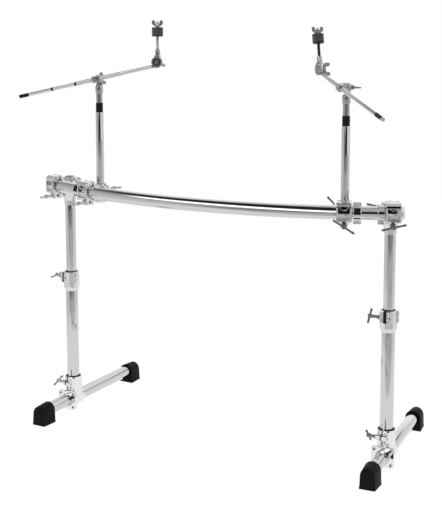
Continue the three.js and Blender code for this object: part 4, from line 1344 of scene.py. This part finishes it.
@dataclass
class Leg(EndPart):
    """A leg: two tubes, the height collar and the foot."""

    collar_spin: float
    foot_spin: float
    upper_radius: float = 15.875
    lower_radius: float = 19.05

    def _heights(self, node: str) -> Span:
        """The lowest and highest points of a node, in millimetres."""
        low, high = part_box(self.full(node))
        return low.z / MM, high.z / MM

    def tubes(self, base: Matrix) -> None:
        """Models the two leg tubes and the plug in the upper one.

        Args:
            base: The leg's seat.
        """
        low, high = self._heights("upper_tube")
        upper = Form.bar(self.upper_radius, low, high, 0.8, 80)
        upper.cut(Form.bar(13.9, high - 12.0, high + 1.0, sides=80))
        self.put(upper, "upper_leg_tube", base, TUBE, "upper_tube")
        plug = Form.turned([(13.7, high - 11.0), (13.7, high - 1.4), (12.6, high - 0.4), (4.0, high - 0.1)], 0.0, 64)
        self.put(plug, "upper_leg_plug", base, NYLON, "upper_tube", replaces=False)
        low, high = self._heights("lower_tube")
        lower = Form.bar(self.lower_radius, low, high, 1.0, 96)
        lower.cut(Form.bar(16.4, low + 40.0, high + 1.0, sides=80))
        self.put(lower, "lower_leg_tube", base, TUBE, "lower_tube")

    def build(self) -> None:
        """Models the leg's pieces."""
        at = joint(self.full("foot_swivel")).at
        axis = Vector((at.x, at.y, 0.0))
        self.tubes(seat(axis, Vector((1, 0, 0)), Vector((0, 1, 0)), UP))
        hinge = joint(self.full("collar_jaw_hinge")).at
        out = Vector((hinge.x - axis.x, hinge.y - axis.y, 0.0)).normalized()
        collar_seat = seat(axis, out, UP.cross(out), UP)
        HeightCollar(self.side, self.collar_spin).build(collar_seat, self._heights("lower_tube")[1])
        along = joint(self.full("foot_slide")).axis
        FootJoint(self.side, self.foot_spin).build(seat(axis, along.cross(UP), along, UP))


@dataclass
class Boom(EndPart):
    """A boom: stand tube, bushing, tilter yoke, rod holder, rod, and the cymbal tilter with its post."""

    tail: float
    stem_low: float
    marks: tuple[Span, ...]
    holder_spin: float = 0.0
    tilter_spin: float = 0.0
    post_spin: float = 0.0
    rod_length: float = 460.0
    rod_radius: float = 5.35
    grip_radius: float = 6.35
    band_radius: float = 5.5
    tooth_count: int = 24
    stand_radius: float = 11.7
    stand_bore: float = 10.6
    holder_drop: float = 18.0
    disc_rise: float = 9.0
    felt_low: float = 76.3
    felt_height: float = 8.0
    felt_radius: float = 16.5
    felt_edge: float = 1.1
    post_radius: float = 4.0
    thread_low: float = 38.5
    thread_pitch: float = 1.25
    thread_turns: int = 28

    @property
    def thread(self) -> Finish:
        """The finish of the post's thread: the bolts' lighter plate on the left, painted light, and near-black steel
        on the right, painted shade.
        """
        return LIT_BOLT_PLATE if self.side is Side.LEFT else SCREW

    @property
    def toward_head(self) -> int:
        """The direction along the rod's X that leads to the cymbal tilter."""
        return self.side.toward_middle

    def stand(self, base: Matrix) -> None:
        """Models the stand tube and its bushing.

        Args:
            base: The stand's seat.
        """
        low, high = (corner.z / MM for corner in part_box(self.full("stand_tube")))
        tube = Form.bar(self.stand_radius, low, high, 0.6, 72)
        tube.cut(Form.bar(self.stand_bore, high - 160.0, high + 1.0, sides=72))
        self.put(tube, "boom_stand_tube", base, TUBE, "stand_tube")
        profile = [(10.2, -16), (10.2, 0.3), (10.6, 0.3), (10.6, 7.0), (10.3, 7.6), (10.3, 8.4), (10.6, 9.0),
                   (10.6, 24.0), (10.2, 27.0), (10.0, 28.0)]
        bush = Form.turned([(radius, high + rise) for radius, rise in profile], 0.0, 72)
        bush.cut(Form.bar(9.6, high - 20, high + 30, sides=72))
        self.put(bush, "stand_bushing", base, NYLON, "tube_bushing")

    def toothed(self, radius: float, depth: float, low: float, high: float) -> Form:
        """Models a disc with pointed teeth round its rim, along Y.

        Args:
            radius: The radius at the teeth's tips.
            depth: The teeth's depth.
            low: Its front face.
            high: Its rear face.

        Returns:
            The form.
        """
        outline = []
        for i in range(2 * self.tooth_count):
            reach, angle = radius - depth * (i % 2), math.pi * i / self.tooth_count
            outline.append((reach * math.cos(angle), reach * math.sin(angle)))
        return Form.prism(outline, low, high).along_y()

    def large_wing(self, spin: float) -> Form:
        """A large wing nut of the tilters, turned by an angle."""
        return WingNut(hub_radius=7, hub_height=12, span=37, height=26, bore=3.3).model().spun(spin)

    def yoke(self, base: Matrix) -> None:
        """Models the yoke with its stem.

        Args:
            base: The yoke's seat: zero at the pivot, Y along the pivot.
        """
        yoke = Form.turned([
            (8.5, self.stem_low), (9.3, self.stem_low + 1.0), (9.3, -43.0), (10.3, -43.0), (11.3, -41.5),
            (11.3, -24.0), (10.4, -20.5), (8.0, -18.0)], 0.0, 72)
        ear = Form.bar(12, 0, 9, 1.0, 72).along_y()
        arm = Form.box((-9.4, 9.4), (0, 9), (-20, 0), 1.2)
        yoke.add(ear, arm).cut(Form.bar(3.3, -1, 10, sides=32).along_y())
        self.put(yoke.rounded(0.5, 0.7, 2), "tilter_yoke_casting", base, TILTER, "tilter_yoke")

    def holder(self, base: Matrix) -> None:
        """Models the rod holder with its toothed face and bolt.

        Args:
            base: The holder's seat.
        """
        disc = self.toothed(12.5, 1.2, -8.0, -0.5)
        grip = Form.box((-13, 13), (-27, -6.5), (-10, 10)).rounded(3.2, 0.6, 4)
        bolt = Form.bar(3.0, -6.5, 21.0, 0.6, 32).along_y()
        body = disc.add(grip, bolt)
        body.cut(Form.bar(6.65, -30, 30, sides=48).along_x().moved(0, -self.holder_drop, 0),
                 Form.box((-30, 30), (-28, -16.75), (-1, 1)))
        self.put(body, "rod_holder_block", base, TILTER, "rod_holder")

    def rod(self, base: Matrix) -> None:
        """Models the rod: a thicker grip in the middle, and the flat and disc that carry the tilter.

        Args:
            base: The rod's seat: zero at the holder, X along the rod.
        """
        head, radius = self.rod_length - self.tail, self.rod_radius
        rod = Form.turned([
            (3.0, -self.tail), (4.6, -self.tail + 0.4), (radius, -self.tail + 1.6), (radius, -65.0),
            (self.grip_radius, -64.0), (self.grip_radius, 83.0), (radius, 84.0), (radius, head)], 0.0, 48).along_x()
        if self.toward_head < 0:
            rod.spun(math.pi)
        centre = self.toward_head * (head + 4.5)
        disc = Form.bar(14, -2.7, 3.0, 0.7, 72).along_y().moved(centre, 0, self.disc_rise)
        rod.cut(Form.box((centre - 19, centre + 19), (-19, -2.7), (-19, 38)),
                Form.box((centre - 19, centre + 19), (3, 19), (-19, 38)))
        rod.add(disc).cut(Form.bar(3.3, -17, 17, sides=32).along_y().moved(centre, 0, self.disc_rise))
        self.put(rod, "boom_rod_bar", base, ROD, "boom_rod")
        self.put(self.bands(), "rod_black_bands", base, NYLON, "boom_rod", replaces=False)

    def bands(self) -> Form:
        """Models the black bands round the rod, the first one closed over its tail where it starts there.

        Returns:
            The form.
        """
        radius, edge, bands = self.band_radius, 0.35, []
        for start, end in self.marks:
            low, high = -self.tail + start, -self.tail + end
            band = Form.turned([(radius - edge, low), (radius, low + edge), (radius, high - edge),
                                (radius - edge, high)], 0.0, 48)
            floor = 1.0 if start < 1.0 else -1.0
            bands.append(band.cut(Form.bar(radius - 0.4, low + floor, high + 1.0, sides=48)).along_x())
            if self.toward_head < 0:
                bands[-1].spun(math.pi)
        return bands[0].beside(*bands[1:]) if len(bands) > 1 else bands[0]

    def head(self, base: Matrix) -> None:
        """Models the cymbal tilter: toothed disc, shoulder, post, felts and nuts.

        Args:
            base: The head's seat: zero at its pivot, Z up the post.
        """
        disc = self.toothed(17, 1.4, -9.5, -3.0)
        rim = Form.bar(14.5, -10.6, -9.0, 0.7, 72).along_y()
        bolt = Form.bar(3, -9.5, 15, 0.6, 32).along_y()
        shoulder = Form.box((-7.5, 7.5), (-9.5, 7.5), (14.5, 20), 1.2)
        post = Form.turned([(7.3, 19), (7.3, 34.7), (6.6, 36.5), (self.post_radius, 38), (self.post_radius, 115.5),
                            (3.0, 117)], 0.0, 64)
        head = disc.add(rim, bolt, shoulder, post)
        head.cut(Form.bar(11.9, -11.0, -9.8, sides=72).cut(Form.bar(7.2, -12, -9, sides=48)).along_y(),
                 Form.bar(2.6, -11.0, -9.6, sides=6).along_y())
        groove = Form.bar(11.7, -10.2, -9.7, sides=72).cut(Form.bar(7.4, -12, -9, sides=48)).along_y()
        self.put(groove, "tilter_face_ring", base, SCREW, "cymbal_tilter_head", replaces=False)
        self.put(head, "cymbal_post_head", base, TILTER, "cymbal_tilter_head")
        piece = self.put(self.felts(), "felt_washers", base, FELT, "cymbal_felts")
        thread = [(radius, self.thread_low + self.thread_pitch * (turn + part)) for turn in range(self.thread_turns)
                  for part, radius in ((0.0, 4.05), (0.5, 4.4))]
        self.put(Form.turned(thread, 0.0, 40), "post_thread", base, self.thread, "cymbal_tilter_head", replaces=False)
        rest = Form.turned([(15.2, 74.0), (16.0, 74.5), (16.0, 75.6), (15.2, 76.1)], 0.0, 64)
        rest.cut(Form.bar(4.5, 70, 80, sides=40))
        self.put(rest, "felt_seat", base, NYLON, "cymbal_tilter_head", replaces=False)
        nut = WingNut(hub_radius=6.3, hub_height=11, span=34, height=20, bore=4.3).model().spun(self.post_spin)
        self.put(nut, "post_wing_nut", shifted(base, 0, 0, 100.6), self.bolt_lit_or_shaded_plate, "wing_nut", weighted=True)
        place = shifted(base, 0, 3.3, 0, (-QUARTER, "X"))
        # The large wing nut takes the darker copy of the bolt plate: painted shade.
        self.put(self.large_wing(self.tilter_spin), "tilter_wing_nut", place, SHADED_BOLT_PLATE, "tilter_wing", weighted=True)

    def felts(self) -> Form:
        """Models the stack of three felts with their rounded rims.

        Returns:
            The form.
        """
        radius, edge, half = self.felt_radius, self.felt_edge, self.felt_height / 2
        layers = []
        for layer in range(3):
            low = self.felt_low + self.felt_height * layer
            rim = [(radius - edge + edge * math.sin(step), low + half - 3.95 * math.cos(step))
                   for step in [math.pi * i / 8 for i in range(9)]]
            layers.append(Form.turned(rim, 0.0, 56).cut(Form.bar(4.5, low - 1, low + 9, sides=40)))
        return layers[0].beside(layers[1]).beside(layers[2])

    def build(self) -> None:
        """Models the boom's pieces."""
        at = joint(self.full("stand_turn")).at
        self.stand(seat(Vector((at.x, at.y, 0.0)), Vector((1, 0, 0)), Vector((0, 1, 0)), UP))
        tilt = joint(self.full("rod_tilt"))
        yoke_seat = seat(tilt.at, tilt.axis.cross(UP), tilt.axis, UP)
        self.yoke(yoke_seat)
        place = shifted(yoke_seat, 0, 9.3, 0, (-QUARTER, "X"))
        # The large wing nut takes the darker copy of the bolt plate: painted shade.
        self.put(self.large_wing(self.holder_spin), "holder_wing_nut", place, SHADED_BOLT_PLATE, "rod_wing_screw", weighted=True)
        along = joint(self.full("rod_slide")).axis * self.toward_head
        rod_seat = seat(tilt.at, along, tilt.axis, along.cross(tilt.axis))
        self.holder(rod_seat)
        self.rod(shifted(rod_seat, 0, -self.holder_drop, 0))
        pivot = joint(self.full("head_tilt"))
        up = joint(self.full("cymbal_nut_turn")).axis
        across = pivot.axis * self.toward_head
        self.head(seat(pivot.at, across.cross(up), across, up))


# Studio


FRONT_STRIP = ((-20, 0.62), (8, 0.58), (15, 0.65), (19, 1.9), (23, 2.35), (34, 2.35), (38, 1.4), (43, 0.5),
               (46, 0.02), (84, 0.02), (93, 0.42), (105, 0.95), (150, 1.0), (175, 1.3))
LEFT_SKY = ((0, 0.72), (10, 0.64), (24, 0.56), (31, 0.48), (38, 0.3), (45, 0.12), (55, 0.04), (90, 0.02))
AHEAD_SKY = ((0, 0.0), (25, 0.0), (32, 0.4), (40, 0.55), (60, 0.6), (85, 0.62), (90, 0.7))
RIGHT_SKY = ((0, 0.95), (25, 1.15), (55, 1.0), (75, 0.6), (90, 0.3))
REAR_SKY = ((0, 0.88), (12, 0.88), (18.5, 0.85), (20, 0.08), (22.8, 0.08), (24.5, 0.95), (30, 1.1),
            (60, 1.0), (80, 0.5), (90, 0.1))
LAMPS = (("key_lamp", (-1.6, -2.6, 3.0), 2.0, 55.0), ("fill_lamp", (2.8, -1.4, 2.2), 2.4, 30.0),
         ("rim_lamp", (0.4, 2.8, 2.6), 2.0, 30.0))
WHITE = (1, 1, 1, 1)


@dataclass
class Studio:
    """The camera, the plain pale floor, the soft lamps and the bright surroundings."""

    camera_at: tuple[float, float, float] = (1.51167, -3.00343, 1.2819)
    camera_turn: float = math.radians(26.66)
    camera_pitch: float = math.radians(7.88)
    lens: float = 81.28
    shift: float = -0.18
    floor_half: float = 30.0
    floor_drop: float = 0.0005
    floor_color: tuple[float, float, float, float] = (0.82, 0.82, 0.82, 1)
    floor_light: float = 1.03
    floor_share: float = 0.92
    floor_shades: tuple[float, ...] = (0.13, 0.1, 0.3, 0.22, 0.4)
    wedge_middle: float = -0.45
    wedge_slope: float = 0.62
    deep_slope: float = 0.3
    streak_at: tuple[float, float] = (1.28, 0.3)
    lamp_aim: tuple[float, float, float] = (0, 0, 0.6)
    strip_slant: float = math.radians(33)
    strip_ends: Span = (-40.0, 200.0)
    band_peak: float = 2.4
    world_light: float = 0.75

    def camera(self) -> None:
        """Adds the camera at the photograph's viewing angle."""
        data = bpy.data.cameras.new("camera")
        data.lens = self.lens
        data.shift_y = self.shift
        camera = bpy.data.objects.new("camera", data)
        camera.location = self.camera_at
        camera.rotation_euler = (QUARTER - self.camera_pitch, 0.0, self.camera_turn)
        bpy.context.collection.objects.link(camera)
        bpy.context.scene.camera = camera

    def lamp(self, name: str, at: tuple[float, float, float], size: float, power: float) -> None:
        """Adds a soft lamp that looks at the middle of the rack.

        Args:
            name: Its name.
            at: Its place in metres.
            size: The length of its sides.
            power: Its power in watts.
        """
        data = bpy.data.lights.new(name, "AREA")
        data.size = size
        data.energy = power
        lamp = bpy.data.objects.new(name, data)
        lamp.location = at
        lamp.rotation_euler = (Vector(self.lamp_aim) - Vector(at)).to_track_quat("-Z", "Y").to_euler()
        lamp.visible_glossy = False
        bpy.context.collection.objects.link(lamp)

    def floor(self) -> None:
        """Adds the floor: white to the camera, with a faint shadow, and pale in the chrome."""
        bpy.ops.object.select_all(action="DESELECT")
        bpy.ops.mesh.primitive_plane_add(size=2 * self.floor_half, location=(0, 0, -self.floor_drop))
        floor = bpy.context.object
        floor.name = "floor"
        made = bpy.data.materials.new("floor")
        made.use_nodes = True
        graph = Graph(made.node_tree)
        rays = graph.node("ShaderNodeLightPath")
        place = graph.node("ShaderNodeTexCoord")["Object"]
        split = graph.node("ShaderNodeSeparateXYZ", inputs={"Vector": place})
        front = (math.sin(self.camera_turn), -math.cos(self.camera_turn))
        ahead = split["X"] * front[0] + split["Y"] * front[1]
        aside = split["X"] * front[1] - split["Y"] * front[0]
        off_middle = abs(aside - self.wedge_middle)
        streak_ahead, streak_aside = self.streak_at
        far = graph.step(ahead * ahead + aside * aside, 1.0, 7.0)
        wedge = graph.step(ahead - off_middle * self.wedge_slope, 0.15, 0.8) * graph.step(ahead, 0.72, 0.92)
        deep = graph.step(ahead - off_middle * self.deep_slope, 5.2, 6.2)
        side = graph.step(aside, 1.0, 2.2)
        streak = graph.step(abs(ahead - streak_ahead), 0.1, 0.04) * graph.step(abs(aside - streak_aside), 0.65, 0.35)
        grey = 1.0
        for shade, share in zip((far, side, wedge, deep, streak), self.floor_shades):
            grey = grey - shade * share
        seen = graph.node("ShaderNodeEmission", inputs={"Color": WHITE, "Strength": grey})["Emission"]
        plain = graph.node("ShaderNodeBsdfDiffuse", inputs={"Color": self.floor_color})["BSDF"]
        white = graph.node("ShaderNodeEmission", inputs={"Color": WHITE, "Strength": self.floor_light})["Emission"]
        shown = graph.node("ShaderNodeMixShader", inputs={0: self.floor_share, 1: plain, 2: white})["Shader"]
        lit = graph.node("ShaderNodeMixShader", inputs={0: rays["Is Camera Ray"], 1: plain, 2: shown})["Shader"]
        shader = graph.node("ShaderNodeMixShader", inputs={0: rays["Is Glossy Ray"], 1: lit, 2: seen})["Shader"]
        graph.node("ShaderNodeOutputMaterial", inputs={"Surface": shader})
        floor.data.materials.append(made)

    def surroundings(self) -> None:
        """Makes the world: white behind the object, a plain light, and bands that shape the chrome."""
        world = bpy.data.worlds.new("studio")
        world.use_nodes = True
        bpy.context.scene.world = world
        graph = Graph(world.node_tree)
        rays = graph.node("ShaderNodeLightPath")
        direction = graph.node("ShaderNodeTexCoord")["Generated"]
        split = graph.node("ShaderNodeSeparateXYZ", inputs={"Vector": direction})
        height = split["Z"]
        toward_front = -1.0 * split["Y"]
        turn = split["X"].turn_from(toward_front)
        over_bar = height.turn_from(toward_front) + split["X"] * self.strip_slant
        peak = self.band_peak

        def sky(*stops: tuple[float, float]) -> Signal:
            """The brightness by elevation in degrees, in one direction."""
            places = [(math.sin(math.radians(at)), value / peak) for at, value in stops]
            return graph.node("ShaderNodeValToRGB", {"stops": places}, {"Fac": height})["Color"]

        def toward(low: float, high: float, soft: float) -> Signal:
            """One between two directions in degrees, else zero, with edges of half a width."""
            start, end, width = math.radians(low), math.radians(high), math.radians(soft)
            return graph.step(turn, start - width, start + width) - graph.step(turn, end - width, end + width)

        def strip(*stops: tuple[float, float]) -> Signal:
            """The brightness by the angle over the bar in degrees, from low in front to low behind.

            Args:
                stops: Angles and their brightness.

            Returns:
                The brightness, as a share of the peak.
            """
            low, high = self.strip_ends
            places = [((at - low) / (high - low), value / peak) for at, value in stops]
            share = graph.node("ShaderNodeMapRange", inputs={
                "Value": over_bar, "From Min": math.radians(low), "From Max": math.radians(high)})["Result"]
            return graph.node("ShaderNodeValToRGB", {"stops": places}, {"Fac": share})["Color"]

        front = strip(*FRONT_STRIP)
        front_low = graph.step(height, 0.07, 0.22)
        shade = (1.0 - front_low) * graph.step(turn, math.radians(-34), math.radians(-8))
        front = graph.blend(shade, front, (0.08, 0.08, 0.08, 1.0))
        bands = graph.blend(graph.step(split["X"], -0.76, -0.64), sky(*LEFT_SKY), front)
        for low, high, soft, stops in ((17.0, 58.0, 5.0, AHEAD_SKY), (58.0, 125.0, 8.0, RIGHT_SKY),
                                       (125.0, 175.0, 6.0, REAR_SKY)):
            bands = graph.blend(toward(low, high, soft), bands, sky(*stops))
        mirrored = graph.node("ShaderNodeBackground", inputs={"Color": bands, "Strength": peak})["Background"]
        light = self.world_light
        plain = graph.node("ShaderNodeBackground", inputs={"Color": WHITE, "Strength": light})["Background"]
        white = graph.node("ShaderNodeBackground", inputs={"Color": WHITE, "Strength": 1.0})["Background"]
        first = graph.node("ShaderNodeMixShader", inputs={0: rays["Is Glossy Ray"], 1: plain, 2: mirrored})["Shader"]
        seen = rays["Is Camera Ray"] | rays["Is Transmission Ray"]
        last = graph.node("ShaderNodeMixShader", inputs={0: seen, 1: first, 2: white})["Shader"]
        graph.node("ShaderNodeOutputWorld", inputs={"Surface": last})

    def build(self) -> None:
        """Builds the studio."""
        self.camera()
        self.floor()
        self.surroundings()
        for lamp in LAMPS:
            self.lamp(*lamp)
        bpy.context.scene.view_settings.view_transform = "Standard"


def corner_clamp(side: Side, front_spin: float, rear_spin: float) -> BarClamp:
    """A clamp that holds a leg, with the angles of its crossbars in degrees."""
    return BarClamp(
        side, "corner", sleeve_radius=26.0, sleeve_top=22.0, sleeve_shoulder=-26.0, sleeve_foot=17.9,
        sleeve_bottom=-65.0, sleeve_bore=16.2, bolt_out=30.0, front_spin=math.radians(front_spin),
        rear_spin=math.radians(rear_spin), window=(3.6, 15.6), arch=(-11.5, 1.8), rib_rise=6.0, sleeve_waist=-50.0)


def boom_clamp(side: Side, front_spin: float, rear_spin: float) -> BarClamp:
    """A clamp that holds a boom stand, with the angles of its crossbars in degrees."""
    return BarClamp(
        side, "boom", sleeve_radius=20.5, sleeve_top=20.0, sleeve_shoulder=-28.0, sleeve_foot=17.0,
        sleeve_bottom=-36.0, sleeve_bore=12.0, bolt_out=25.5, front_spin=math.radians(front_spin),
        rear_spin=math.radians(rear_spin))


def along_bar(clamp: Matrix, distance: float, bend: float) -> Matrix:
    """A seat on the bar at some distance from a clamp, along the bend."""
    centre = Matrix.Translation((0, bend, 0))
    return clamp @ centre @ Matrix.Rotation(distance / bend, 4, "Z") @ centre.inverted()


LOCK_AWAY = 34.5  # half a clamp, the gap, and half a boom lock ring
LEG_LOCK_AWAY = 32.0


def main() -> None:
    """Builds the studio, then every piece of the rack."""
    Studio().build()
    bar = RackBar()
    left_corner = corner_clamp(Side.LEFT, 13, 20).build()
    right_corner = corner_clamp(Side.RIGHT, 13, 11).build()
    left_boom = boom_clamp(Side.LEFT, 16, -8).build()
    right_boom = boom_clamp(Side.RIGHT, -32, 46).build()
    bar.build(left_corner, right_corner)
    for base, side in ((left_boom, Side.LEFT), (right_boom, Side.RIGHT)):
        lock = MemoryLock(width=22.0, windowed=True, lug_sides=(1, -1))
        ring, place = f"{side.value}_boom_lock_ring", along_bar(base, -side.toward_middle * LOCK_AWAY, bar.bend)
        dress(lock.model(), ring, place, CAST, f"{side.value}_boom_memory_lock", weighted=True)
        dress(lock.liner(), f"{ring}_liner", place, NYLON, f"{side.value}_boom_memory_lock", replaces=False)
    lock = MemoryLock(width=17.0, windowed=False, lug_sides=(-1,))
    dress(lock.model(), "right_leg_lock_ring", along_bar(right_corner, -LEG_LOCK_AWAY, bar.bend), LOCK,
          "right_leg_memory_lock", weighted=True)
    Leg(Side.LEFT, collar_spin=math.radians(75), foot_spin=math.radians(60)).build()
    Leg(Side.RIGHT, collar_spin=math.radians(41), foot_spin=math.radians(-37)).build()
    Boom(Side.LEFT, tail=262.0, stem_low=-211.0, marks=((0.0, 33.0), (110.0, 117.0), (189.0, 196.0)),
         holder_spin=math.radians(70), tilter_spin=math.radians(45)).build()
    Boom(Side.RIGHT, tail=301.0, stem_low=-215.5, marks=((9.0, 46.0),), tilter_spin=QUARTER,
         post_spin=QUARTER).build()


if __name__ == "__main__":
    main()
